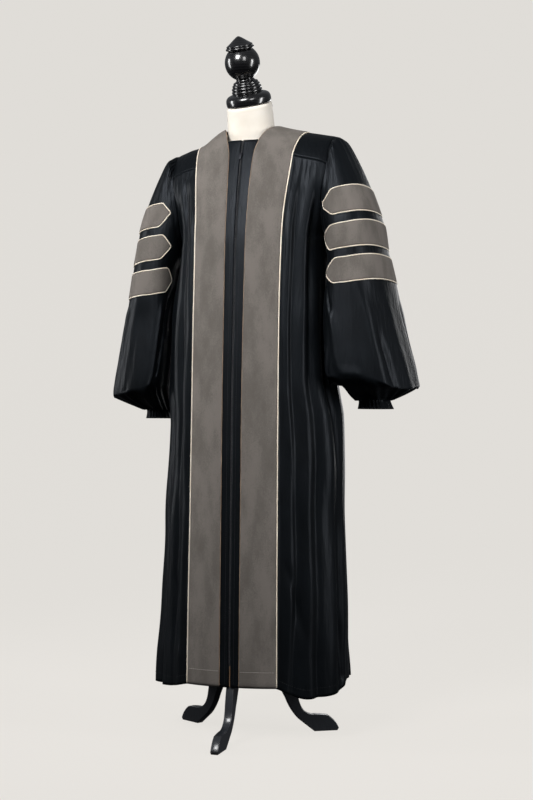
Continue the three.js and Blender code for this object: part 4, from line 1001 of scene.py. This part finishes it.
def addGown():
    yoke = yokeFrontGrid()
    for side, word in bothSides:
        grid = onSide(frontGrid(word), side)
        piece = keepCloth(f"front_{word}Cloth", grid, f"front_{word}")
        normals = surfaceNormals(grid)
        last, past = len(frontPlaces), velvetColumns.stop
        hem, strip = slice(past, None), stitching["stripColumn"]
        if side < 0:
            hem, strip = slice(0, last - past), last - 1 - strip
        for name, line in (("hem", (stitching["hemRow"], hem)), ("strip", (slice(1, -1), strip))):
            addStitches(f"{name}Stitches_{word}", grid[line], normals[line])
        grid = onSide(yoke, side)
        raised = grid + surfaceNormals(grid) * gown["yokeLift"]
        piece = keepCloth(f"yoke_{word}Cloth", raised, f"yoke_{word}")
    grid = settled(backGrid())
    piece = keepCloth("backCloth", grid, "back")
    addStitches("hemStitches_back", grid[stitching["hemRow"]], surfaceNormals(grid)[stitching["hemRow"]])
    grid = settled(backYokeGrid())
    normals = surfaceNormals(grid)
    piece = keepCloth("yokeBackCloth", grid + normals * gown["backYokeLift"], "yoke_back")
    piece = laidVelvet("velvetNeckBand", grid[-bandRowCount:], ("bottom", "top"), looks["velvet"])
    keep(piece, "gown", ["velvet_neck_band"])
    edge = len(grid) - bandRowCount
    path = lineBeside(grid[edge], grid[edge - 1], normals[edge], cordSize["aside"])
    cord = tube("neckBandCord", path, cordSize["radius"], looks["piping"])
    keep(cord, "gown", ["neck_band_piping"])


# The sleeve: rings from the yoke down. fore, out and seam are the ring's heights, x1 its middle,
# y1 and y2 its front and back, x2 its outside at yo, skew its turn. The rings over the underarm
# start and end on the armhole, at a turn from its front.
sleeveRows = table(
    "turn fore out x1 y1 y2 x2 yo skew",
    (16, 1364, 1434, 204, -6, 172, 219, 88, 0),
    (8, 1338, 1388, 213, -12, 186, 248, 94, 0),
    (-1, 1306, 1320, 224, -18, 198, 279, 99, 0),
    (-28.4, 1250, 1262, 238, -24, 210, 300, 102, 0),
    (-53.4, 1225, 1237, 245, -27, 215, 307, 103, 0.02),
    (-90, 1169, 1179, 254, -31, 222, 316, 105, 0.04),
) + table(
    "seam seamX fore out x1 y1 y2 x2 yo skew",
    (1162, 193, 1145, 1155, 258, -33, 224, 321, 106, 0.05),
    (1100, 198, 1088, 1098, 266, -37, 229, 333, 107, 0.07),
    (1025, 205, 1018, 1026, 276, -41, 235, 347, 108, 0.09),
    (945, 213, 940, 940, 288, -46, 240, 366, 109, 0.11),
    (890, 219, 888, 876, 297, -48, 243, 382, 110, 0.12),
    (862, 223, 862, 840, 302, -47, 242, 388, 110, 0.12),
    (848, 226, 854, 833, 301, -41, 235, 383, 111, 0.12),
    (801, 238, 801, 803, 282, 64, 186, 325, 126, 0),
)
sleeve = dict(columns=161, rows=190, armClear=7, outerPower=2.3, capShare=4 / 7, overOutside=slice(30, 75))
innerPowers = [3, 3, 3, 3, 3, 3.2, 3.6, 4.2, 5, 5.6, 6, 6, 5, 3]     # how square each ring is to the body


def sleeveTop(c):
    turn = np.where(c < sleeve["capShare"], mix(gown["frontSeamTurn"], 90, c / sleeve["capShare"]),
                    mix(90, gown["backSeamTurn"], (c - sleeve["capShare"]) / (1 - sleeve["capShare"])))
    return armholePoint(turn)


def sleeveRing(row, c, power):
    first = c <= 0.5
    t = np.where(first, c * 2, (1 - c) * 2)
    if "turn" in row:
        edge = np.where(first[:, None], armholePoint(row["turn"]), armholePoint(180 - row["turn"]))
    else:
        edge = point(row["seamX"], row["yo"], np.full(c.shape, float(row["seam"])))
    endY = np.where(first, row["y1"], row["y2"])
    near = edge[:, 0] + sleeve["armClear"] * ease(t / 0.1)
    b = np.clip(t * math.pi, 0, math.pi / 2)
    inner, outer = 2 / power, 2 / sleeve["outerPower"]
    xIn = row["x1"] - (row["x1"] - near) * np.maximum(0, np.cos(b)) ** inner
    yIn = edge[:, 1] + (endY - edge[:, 1]) * np.sin(b) ** inner
    b = np.clip((t - 0.5) * math.pi, 0, math.pi / 2)
    xOut = row["x1"] + (row["x2"] - row["x1"]) * np.sin(b) ** outer
    yOut = row["yo"] + (endY - row["yo"]) * np.maximum(0, np.cos(b)) ** outer
    x, y = np.where(t <= 0.5, xIn, xOut), np.where(t <= 0.5, yIn, yOut)
    level = mix(row["fore"], row["out"], ease(t))
    return point(x + row["skew"] * (y - row["yo"]), y, mix(edge[:, 2], level, ease(t / 0.125)))


def sleeveRings(c):
    rings = [sleeveRing(row, c, power) for row, power in zip(sleeveRows, innerPowers)]
    return np.stack([sleeveTop(c)] + rings)


def ringPlaces(rings):
    # how far down the sleeve each ring lies, in millimetres, measured over its front and outside
    return runAlong(rings)[:, sleeve["overOutside"]].mean(1)


# Folds of each sleeve, as (ring, share round the sleeve from its inner seam over the front)
sleeveFolds = dict(
    left=table(
        foldColumns,
        ([(7.7, 0.10), (8.4, 0.15), (9.0, 0.195), (9.5, 0.21)], 10, -7, (30, 50)),
        ([(8.4, 0.15), (9.2, 0.205), (10, 0.225), (11, 0.235), (12.1, 0.25)], 14, 5, (60, 20)),
        ([(10.0, 0.19), (11, 0.165), (12.2, 0.15)], 12, -4, (60, 8)),
        ([(7.9, 0.08), (9.4, 0.09), (11, 0.07), (12.2, 0.06)], 9, 5, (40, 10)),
        ([(8.0, 0.31), (9.4, 0.33), (12.2, 0.35)], 21, 6, (70, 10)),
        ([(9.3, 0.36), (11, 0.39), (12.3, 0.405)], 11, -6, (60, 6)),
        ([(8.0, 0.43), (10, 0.45), (12.3, 0.465)], 19, 5, (70, 6)),
        ([(8.2, 0.54), (10, 0.56), (12.2, 0.57)], 13, -6, (60, 6)),
        ([(8.0, 0.63), (10, 0.65), (12.2, 0.66)], 19, 6, (70, 6)),
        ([(8.2, 0.74), (10, 0.75), (12.2, 0.74)], 12, -7, (60, 6)),
        ([(8.2, 0.86), (10, 0.85), (12.2, 0.84)], 16, 6, (60, 6)),
    ),
    right=table(
        foldColumns,
        ([(7.6, 0.04), (8.8, 0.085), (9.9, 0.105)], 7, -8, (30, 30)),
        ([(9.4, 0.10), (10.4, 0.13), (11.5, 0.155)], 7, -9, (30, 14)),
        ([(8.0, 0.13), (9.6, 0.165), (12.2, 0.20)], 11, 5, (60, 8)),
        ([(8.2, 0.25), (10, 0.27), (12.2, 0.285)], 18, -4, (60, 8)),
        ([(8.0, 0.33), (10, 0.35), (12.2, 0.36)], 12, 6, (60, 8)),
        ([(8.2, 0.42), (10, 0.43), (12.2, 0.44)], 15, -5, (60, 8)),
        ([(8.0, 0.51), (10, 0.52), (12.2, 0.53)], 17, 5, (60, 8)),
        ([(8.4, 0.61), (10, 0.62), (12.2, 0.62)], 12, -7, (60, 8)),
        ([(8.0, 0.70), (10, 0.71), (12.2, 0.72)], 18, 6, (60, 8)),
        ([(8.2, 0.80), (10, 0.82), (12.2, 0.82)], 12, -6, (60, 8)),
        ([(8.2, 0.89), (12.2, 0.90)], 14, 5, (60, 8)),
    ),
)
sleeveGathers = dict(
    head=dict(length=430, pitch=19, deep=7.5, reach=44), under=dict(length=303, pitch=15, deep=7, reach=1),
    underFrom=12.4, underTo=14.2, barStiff=0.3, stiffFrom=2.6, stiffTo=8.2,     # rings
)
# how far the bell's lower edge hangs below its even line: (share, millimetres)
bellSag = dict(
    left=[(0, 26), (0.06, 20), (0.12, 3), (0.2, -1), (0.27, -4), (0.34, 6), (0.41, 16), (0.48, 8),
          (0.55, 0), (0.66, 12), (0.8, 3), (0.93, 18), (1, 26)],
    right=[(0, 0), (0.08, -6), (0.16, -12), (0.24, -4), (0.32, 5), (0.4, 8), (0.5, 2), (0.62, 14),
           (0.76, 4), (0.9, 8), (1, 8)],
)
sagWeights = ((10, 0.12), (11, 0.5), (12, 1.0), (13, 0.4))     # (ring, how much it follows)
# the front inner corner of the wearer's left bell swings out over the front of the gown
bellCorner = dict(at=0.125, wide=0.07, x=-7, y=-10, weights=((9, 0.25), (10, 0.6), (11, 1.0), (12, 1.0)))


def sleeveSurface(word):
    c = np.linspace(0, 1, sleeve["columns"])
    rings = sleeveRings(c)
    sag = curveThrough(*zip(*bellSag[word]), c)
    for ring, weight in sagWeights:
        rings[ring, :, 2] -= sag * weight
    if word == "left":
        swing = np.exp(-((c - bellCorner["at"]) / bellCorner["wide"]) ** 2)[:, None]
        for ring, weight in bellCorner["weights"]:
            rings[ring] += swing * weight * np.array([bellCorner["x"], bellCorner["y"], 0])
    places = ringPlaces(rings)
    down = np.linspace(0, places[-1], sleeve["rows"])
    grid = curveThrough(places, rings, down)
    normals = surfaceNormals(grid[::-1])[::-1]
    normals = unit(smoothed(smoothed(normals, 3), 3, 1))
    ring = np.interp(down, places, np.arange(len(places)))[:, None]
    girth = np.linalg.norm(np.diff(grid, axis=1), axis=-1).sum(1)[:, None]
    seed = len(word)
    share, depth = np.broadcast_arrays(c[None, :], down[:, None])
    settings = sleeveGathers
    head, under = settings["head"], settings["under"]
    # the bars stiffen the sleeve under them
    underBars = (ring > settings["stiffFrom"]) & (ring < settings["stiffTo"])
    stiff = np.where(underBars, settings["barStiff"], 1.0)
    out = foldField(sleeveFolds[word], ring, share, girth, 60, seed, 0.3)
    atHead = ease((depth + 1) / 14) * ease((share - 0.04) / 0.1) * ease((0.97 - share) / 0.1)
    out = out + gatherField(share * head["length"], depth, 20 + seed, **head) * atHead
    ripple = gatherField(share * under["length"], 0 * share, 40 + seed, **under)
    underBell = ease(ring - settings["underFrom"]) * ease((settings["underTo"] - ring) / 0.5)
    out = out * stiff + ripple * underBell
    out = out * ease(share / 0.02) * ease((1 - share) / 0.02)
    return grid + normals * out[..., None], places, down


def addSleeves():
    for side, word in bothSides:
        surface, places, down = sleeveSurface(word)
        piece = keepCloth(f"sleeve_{word}Cloth", onSide(surface[::-1], side), f"sleeve_{word}")
        addBars(side, word, surface, places, down)
        addCuff(side, word)


# Sleeve bars: rings of the sleeve over and under each, where its tips lie round the sleeve, and
# how far the front tip is raised
bars = table(
    "name upper lower left right leftTip",
    ("top", 3, 4, (0.035, 0.885), (0.116, 0.885), 5),
    ("middle", 5, 6, (0.09, 0.87), (0.124, 0.87), 9),
    ("low", 7, 8, (0.137, 0.87), (0.078, 0.87), 0),
)
barShape = dict(leftTipLength=30, tipLength=23, columns=96, closerTips=1.35, rows=19, cordPoints=300,
                hangLeft=11, leftOver=0.45, hangRight=21, rightOver=0.4)


def samplePlace(surface, row, col):
    # a point of the surface between its grid points
    rows, cols = surface.shape[:2]
    row, col = np.clip(row, 0, rows - 1.001), np.clip(col, 0, cols - 1.001)
    i, j = row.astype(int), col.astype(int)
    a, b = (row - i)[..., None], (col - j)[..., None]
    return mix(mix(surface[i, j], surface[i, j + 1], b), mix(surface[i + 1, j], surface[i + 1, j + 1], b), a)


def addBars(side, word, surface, places, down):
    normals = surfaceNormals(surface[::-1])[::-1]
    rowsPerMm = (len(down) - 1) / down[-1]
    even = np.linspace(-1, 1, barShape["columns"])
    # the columns lie closer together at the two tips
    share = (np.sign(even) * (1 - (1 - abs(even)) ** barShape["closerTips"]) + 1) / 2
    for bar in bars:
        cols = mix(*bar[word], share) * (surface.shape[1] - 1)
        topRow, lowRow = places[bar["upper"]] * rowsPerMm, places[bar["lower"]] * rowsPerMm
        middle = samplePlace(surface, np.full(cols.shape, (topRow + lowRow) / 2), cols)
        run = runAlong(middle)
        fromTip = np.minimum(run, run[-1] - run)
        tipLength = barShape["tipLength"]
        if word == "left":
            tipLength = mix(barShape["leftTipLength"], tipLength, ease(share * 2))
        reach = clamp(fromTip / tipLength)
        # the rows lie closer together at the bar's two edges
        w = np.sin(np.linspace(-1, 1, barShape["rows"]) * math.pi / 2)[:, None]
        rowPlace = (topRow + lowRow) / 2 - w * (lowRow - topRow) / 2 * np.maximum(reach, 0.02)
        # the bars hang a little at the front on the wearer's left, and on the outside on the right
        if word == "left":
            hang = barShape["hangLeft"] * ease(1 - share / barShape["leftOver"])
            hang = hang - bar["leftTip"] * (1 - reach) * (share < 0.5)
        else:
            hang = barShape["hangRight"] * ease(share / barShape["rightOver"])
        rowPlace = rowPlace + hang * rowsPerMm
        colPlace = np.broadcast_to(cols, rowPlace.shape)
        base = samplePlace(surface, rowPlace, colPlace)
        up = unit(samplePlace(normals, rowPlace, colPlace))
        height = np.linalg.norm(base[-1] - base[0], axis=-1) / 2
        away = np.minimum((1 - abs(w)) * height, fromTip * 0.9)
        lift = velvet["gap"] + velvet["thick"] * edgeDrop(away, velvet["edge"])
        raised = base + up * lift[..., None]
        piece = clothWall(f"bar_{bar['name']}_{word}Velvet", onSide(raised, side),
                          velvet["clothThick"], looks["velvet"])
        keep(piece, "gown", [f"bar_{bar['name']}_{word}"])
        addBarCord(side, word, bar["name"], base, up)


def addBarCord(side, word, name, base, up):
    # the cord round the bar: its outline, moved outwards on the cloth and rounded at the corners
    loop = np.concatenate([base[-1], base[0][::-1][1:-1]])
    ups = np.concatenate([up[-1], up[0][::-1][1:-1]])
    # even steps round the loop, then its corners rounded a little
    run = runAlong(np.concatenate([loop, loop[:1]]))
    at = np.linspace(0, run[-1], barShape["cordPoints"], endpoint=False)

    def evened(values):
        return sampleLine(run, np.concatenate([values, values[:1]]), at)

    def rounded(values):
        return 0.5 * values + 0.25 * (np.roll(values, 1, 0) + np.roll(values, -1, 0))

    line, normal = rounded(evened(loop)), unit(evened(ups))
    along = unit(np.roll(line, -1, 0) - np.roll(line, 1, 0))
    outward = unit(np.cross(along, normal))
    if np.mean(np.sum(outward * (line - loop.mean(0)), -1)) < 0:
        outward = -outward
    path = rounded(line + outward * cordSize["aside"] + normal * cordSize["lift"])
    cord = tube(f"barCord_{name}_{word}", lineOnSide(path, side), cordSize["radius"],
                looks["piping"], closed=True)
    keep(cord, "gown", [f"bar_piping_{name}_{word}"])


# Cuffs: a short tube drawn in by elastic, under the bell of each sleeve
cuffRows = table(
    "z halfWidth halfDepth",
    (781, 39, 59), (790, 36, 55), (800, 34, 52), (810, 34, 52), (820.5, 37, 56),
)
cuff = dict(x=282, y=126, columns=120, rows=26, ripples=26, ripple=2.2)


def addCuff(side, word):
    z = np.linspace(cuffRows[0]["z"], cuffRows[-1]["z"], cuff["rows"])[:, None]
    turn = np.linspace(0, 2 * math.pi, cuff["columns"], endpoint=False)[None, :]
    row = rowAt(cuffRows, "z", z)
    wave = cuff["ripple"] * np.sin(turn * cuff["ripples"] + 0.8 * np.sin(turn * 5))
    wave = wave * (0.6 + 0.4 * np.sin(turn * 3))
    grid = point(side * cuff["x"] + (row["halfWidth"] + wave) * np.cos(turn),
                 cuff["y"] + (row["halfDepth"] + wave) * np.sin(turn), z + 0 * turn)
    piece = keepCloth(f"cuff_{word}Cloth", settled(grid), f"cuff_{word}", wrap=True)


addGown()
addPanels()
addSleeves()
print("gown ready")


# The zip: a coil on its tape, a slider and a pull tab. The tape lies behind the two edges.
zipParts = dict(
    tapeHalf=11, tapeBack=1.9, tapeThick=0.6, tapeRows=220, tapeColumns=7,
    coilPitch=2.2, coilHalf=1.5, coilWire=0.45, coilBack=0.7,
    sliderZ=1404, sliderWidth=8, sliderHeight=11, sliderDepth=3, sliderRim=1.0, sliderForward=0.3,
    slope=18.03, bailWire=0.7, bailOut=2.0, bailZ=2.75, bailHalf=3.4, hinge=(0.0, -37.884, 1408.031),
    pullWidth=6, pullLength=16, pullThick=1.2, pullRim=0.45, binding=0.6,
)
# half of the slider's outline from its foot, as shares of its half width and half height
sliderHalf = [(0.5, -1), (0.72, 0), (1, 0.45), (0.9, 0.9), (0.4, 1), (0, 0.8)]
# half of the tab's outline above its round end, as (share of its half width, height)
pullHalf = [(0.6, -0.4), (0.6, -3), (1, -5)]


def zipLine(z):
    p = frontPoint(z, np.zeros(z.shape))
    return point(0 * z, p[:, 1], z)


def leanedBack(points, at):
    # turned with the slope of the chest at the slider
    a = math.radians(zipParts["slope"])
    x, y, z = np.moveaxis(np.asarray(points, float), -1, 0)
    return point(x, y * math.cos(a) + z * math.sin(a), -y * math.sin(a) + z * math.cos(a)) + np.asarray(at)


def addZip():
    z = np.linspace(gown["slitTop"], gown["neckFront"] - 1, zipParts["tapeRows"])
    middle = zipLine(z)
    columns = np.linspace(-1, 1, zipParts["tapeColumns"]) * zipParts["tapeHalf"]
    tape = middle[:, None] + point(columns, 0, 0)[None]
    tape[..., 1] += zipParts["tapeBack"]
    piece = clothWall("zipTape", tape, zipParts["tapeThick"], looks["tape"])
    keep(piece, "gown")
    count = int((gown["zipTop"] - z[0]) / zipParts["coilPitch"]) * 4
    t = np.arange(count)
    at = z[0] + t * zipParts["coilPitch"] / 4
    aside = zipParts["coilHalf"] * np.array([-1, 1, 1, -1])[t % 4]
    path = zipLine(at) + point(aside, zipParts["coilBack"], 0)
    coil = tube("zipCoil", path, zipParts["coilWire"], looks["coil"], sides=6)
    keep(coil, "gown", ["zip_chain"])

    w, h, depth = zipParts["sliderWidth"] / 2, zipParts["sliderHeight"] / 2, zipParts["sliderDepth"]
    seat = zipLine(np.array([float(zipParts["sliderZ"])]))[0] - [0, zipParts["sliderForward"], 0]
    otherHalf = [(-x, z) for x, z in sliderHalf[-2::-1]]
    outline = roundedLine(np.array(otherHalf[-1:] + sliderHalf + otherHalf) * [w, h])[:-1]
    points, faces = roundedBoard(outline, depth, zipParts["sliderRim"])
    slider = solidObject("zipSlider", leanedBack(points - [0, depth / 2, 0], seat), faces, looks["metal"])
    keep(slider, "gown", ["zip_slider"])
    # the bail is a low bridge over the slider that the tab's barrel turns in
    bend = np.linspace(0, math.pi, 15)
    bail = point(0 * bend, -depth - zipParts["bailOut"] * np.sin(bend),
                 zipParts["bailZ"] - zipParts["bailHalf"] * np.cos(bend))
    bridge = tube("zipBail", leanedBack(bail, seat), zipParts["bailWire"], looks["metal"])
    keep(bridge, "gown")

    w, length = zipParts["pullWidth"] / 2, zipParts["pullLength"]
    foot = np.linspace(math.pi, 2 * math.pi, 17)
    outline = [(-w * x, z) for x, z in pullHalf]
    outline += [(w * math.cos(a), -length + w + w * math.sin(a)) for a in foot]
    outline += [(w * x, z) for x, z in pullHalf[::-1]]
    points, faces = roundedBoard(outline, zipParts["pullThick"], zipParts["pullRim"], 3)
    end = w * pullHalf[0][0]
    profile = [(0.6, -end), (1, -end + 0.4), (1, end - 0.4), (0.6, end)]
    barrel = turnedSolid("zipPullBarrel", profile, looks["metal"],
                         lambda p: leanedBack(p[:, [2, 0, 1]], zipParts["hinge"]), sides=24)
    keep(barrel, "pull")
    tab = solidObject("zipPull", leanedBack(points, zipParts["hinge"]), faces, looks["metal"])
    keep(tab, "pull", ["zip_pull"])
    # below the zip the edge of the left front shows its tan binding
    z = np.linspace(gown["hem"] + 2, gown["slitTop"], 30)
    edge = frontPoint(z, np.zeros(30))
    binding = tube("slitBinding", edge + [-0.6, -0.4, 0], zipParts["binding"], looks["tan"], sides=8)
    keep(binding, "gown")


# The dress form, jersey over a padded body, with its neck cut at a slant
formRows = table(
    "z halfWidth front back",
    (760, 158, -58, 172), (850, 165, -62, 180), (940, 152, -56, 163), (1040, 132, -44, 136),
    (1120, 143, -54, 142), (1200, 160, -66, 153), (1280, 168, -52, 155), (1350, 173, -32, 148),
    (1400, 176, -8, 130), (1435, 173, 16, 112), (1452, 160, 30, 104), (1464, 118, 36, 98),
    (1473, 82, 42, 90),
)
neckRows = table(
    "z halfWidth front back tip",
    (1385, 60, -1, 112, 0), (1443, 59, -3, 110, 0.02), (1478, 57.5, -9, 104, 0.12),
    (1510, 56, -16, 95, 0.26), (1540, 54.5, -23, 85, 0.384),
)
formShape = dict(power=2.15, sides=112, forward=21, aside=3.8, neckRim=7.5, noRim=1e-3, rimDraw=0.045)


def formRings(rows, count, rim):
    z = np.linspace(rows[0]["z"], rows[-1]["z"], count)
    row = {name: np.asarray(value)[:, None] for name, value in rowAt(rows, "z", z).items()}
    z = z[:, None]
    turn = np.linspace(0, 2 * math.pi, formShape["sides"], endpoint=False)[None, :]
    s, c = np.sin(turn), np.cos(turn)
    bulge = 2 / formShape["power"]
    fromEnd = (z[-1] - z) / rim
    draw = 1 - formShape["rimDraw"] * np.maximum(0, 1 - fromEnd) ** 2      # the rim of the top rolls in
    middle, depth = (row["front"] + row["back"]) / 2, (row["back"] - row["front"]) / 2
    x = row["halfWidth"] * draw * np.sign(c) * abs(c) ** bulge
    y = middle + depth * draw * np.sign(s) * abs(s) ** bulge
    tip = row.get("tip", 0 * z)
    aside = tip / math.tan(math.radians(formShape["forward"])) * math.tan(math.radians(formShape["aside"]))
    return point(x, y, z + tip * (y - middle) + aside * x)


def addForm():
    torso = settled(formRings(formRows, 96, formShape["noRim"]))
    neck = formRings(neckRows, 60, formShape["neckRim"])
    points, faces, base = [], [], 0
    for sheet in (torso, neck):
        at = base + np.arange(sheet.shape[0] * sheet.shape[1]).reshape(sheet.shape[:2])
        faces += ringFaces(at)
        points.append(sheet.reshape(-1, 3))
        base += at.size
    piece = solidObject("dressForm", np.concatenate(points), faces, looks["form"])
    keep(piece, "gown", ["dress_form"])


# The turned finial: (radius, height) along its own axis, with a ball between its base and lid
finial = dict(
    base=[(0.5, 0), (50, 0), (54.6, 1.5), (55.6, 6), (55.6, 14), (54, 20), (49.5, 25), (42, 28), (36.5, 29),
          (35, 29.6), (37, 31), (37.8, 33.5), (37, 36), (34.6, 37.2), (36, 38.4), (36.8, 41), (36, 43.4),
          (33.2, 44.6), (33.8, 46), (34.2, 48.4), (33, 50.6), (30.4, 51.6), (30.6, 52.8), (30.6, 54.8),
          (29, 56.6), (25, 57.6), (22.5, 60), (21.6, 62)],
    ballRadius=43, ballHeight=101, ballFrom=-59, ballTo=50, gap=0.3,
    lid=[(30, 133.4), (33.8, 134), (35, 136), (34.6, 138.4), (31.8, 139.8), (31.4, 140.4), (32.4, 141.8),
         (32, 143.8), (29.6, 145.2), (24, 149), (13, 157.5), (5.5, 163), (0.5, 165)],
)


def addFinial():
    bend = np.radians(np.linspace(finial["ballFrom"], finial["ballTo"], 40))
    radius = finial["ballRadius"]
    ball = np.stack([radius * np.cos(bend), finial["ballHeight"] + radius * np.sin(bend)], 1)
    profile = np.concatenate([roundedLine(finial["base"]), ball, roundedLine(finial["lid"])])
    forward, aside = math.radians(formShape["forward"]), math.radians(formShape["aside"])
    s, c = math.sin(forward), math.cos(forward)
    tilt = np.array([[1, 0, 0], [0, c, -s], [0, s, c]])
    s, c = math.sin(aside), math.cos(aside)
    whole = np.array([[c, 0, -s], [0, 1, 0], [s, 0, c]]) @ tilt
    top = neckRows[-1]
    seat = np.array([0, (top["front"] + top["back"]) / 2, top["z"]])
    seat = seat + whole @ np.array([0, 0, finial["gap"]])
    piece = turnedSolid("finialWood", profile, looks["gloss"], lambda p: p @ whole.T + seat, 128)
    keep(piece, "gown", ["finial"])


# The stand: a pole in a hub with three sawn legs; a leg's outline is (reach, height), and a
# row with bend is the control point of a curve to the next row
stand = dict(
    # (radius, height): the hub's outside from its foot up, and the bore that the pole runs through
    pole=[(14.5, 170), (16, 171.5), (16, 758.7), (15, 759.7)],
    hub=[(16.4, 176), (21, 176), (23, 178), (23, 250), (21.4, 253), (19.4, 257), (16.4, 258)],
    bore=(16.4, 217), sides=64, board=19, rim=2.2,
)
legOutline = table(
    "r z bend",
    (172, 0), (230, 0), (234, 6), (226, 26, True), (208, 38), (188, 42, True), (168, 42),
    (138, 46, True), (131, 86), (118, 168, True), (74, 214), (48, 240, True), (23.3, 246), (23.3, 186),
    (52, 176, True), (72, 140), (92, 98, True), (100, 84), (112, 52, True), (134, 30),
)


def legLine():
    line, i = [], 0
    rows = [np.array([row["r"], row["z"]], float) for row in legOutline]
    while i < len(rows):
        if legOutline[i].get("bend"):
            start, end = line[-1], rows[(i + 1) % len(rows)]
            line += [mix(mix(start, rows[i], t), mix(rows[i], end, t), t) for t in np.linspace(0, 1, 13)[1:]]
            i += 1
        else:
            line.append(rows[i])
        i += 1
    return np.array(line)


def addStand():
    pole = turnedSolid("standPole", stand["pole"], looks["wood"], sides=stand["sides"])
    keep(pole, "gown", ["pole"])
    hub = np.concatenate([roundedLine(stand["hub"], 1), [stand["bore"]]])
    turn = np.linspace(0, 2 * math.pi, stand["sides"], endpoint=False)
    radius, height = hub[:, :1], hub[:, 1:]
    points = point(radius * np.cos(turn), radius * np.sin(turn), height)
    at = np.arange(len(hub) * stand["sides"]).reshape(len(hub), -1)
    faces = ringFaces(np.concatenate([at, at[:1]]), False)
    piece = solidObject("standHub", points.reshape(-1, 3), faces, looks["wood"])
    keep(piece, "gown", ["stand_hub"])
    points, faces = roundedBoard(legLine(), stand["board"], stand["rim"])
    for word, angle in (("front", -90), ("left", 30), ("right", 150)):
        a = math.radians(angle)
        x, y, z = points.T
        leg = point(x * math.cos(a) - y * math.sin(a), x * math.sin(a) + y * math.cos(a), z)
        piece = solidObject(f"leg_{word}Wood", leg, faces, looks["wood"])
        keep(piece, "gown", [f"leg_{word}"])


addZip()
addForm()
addFinial()
addStand()
print("zip, form and stand ready")
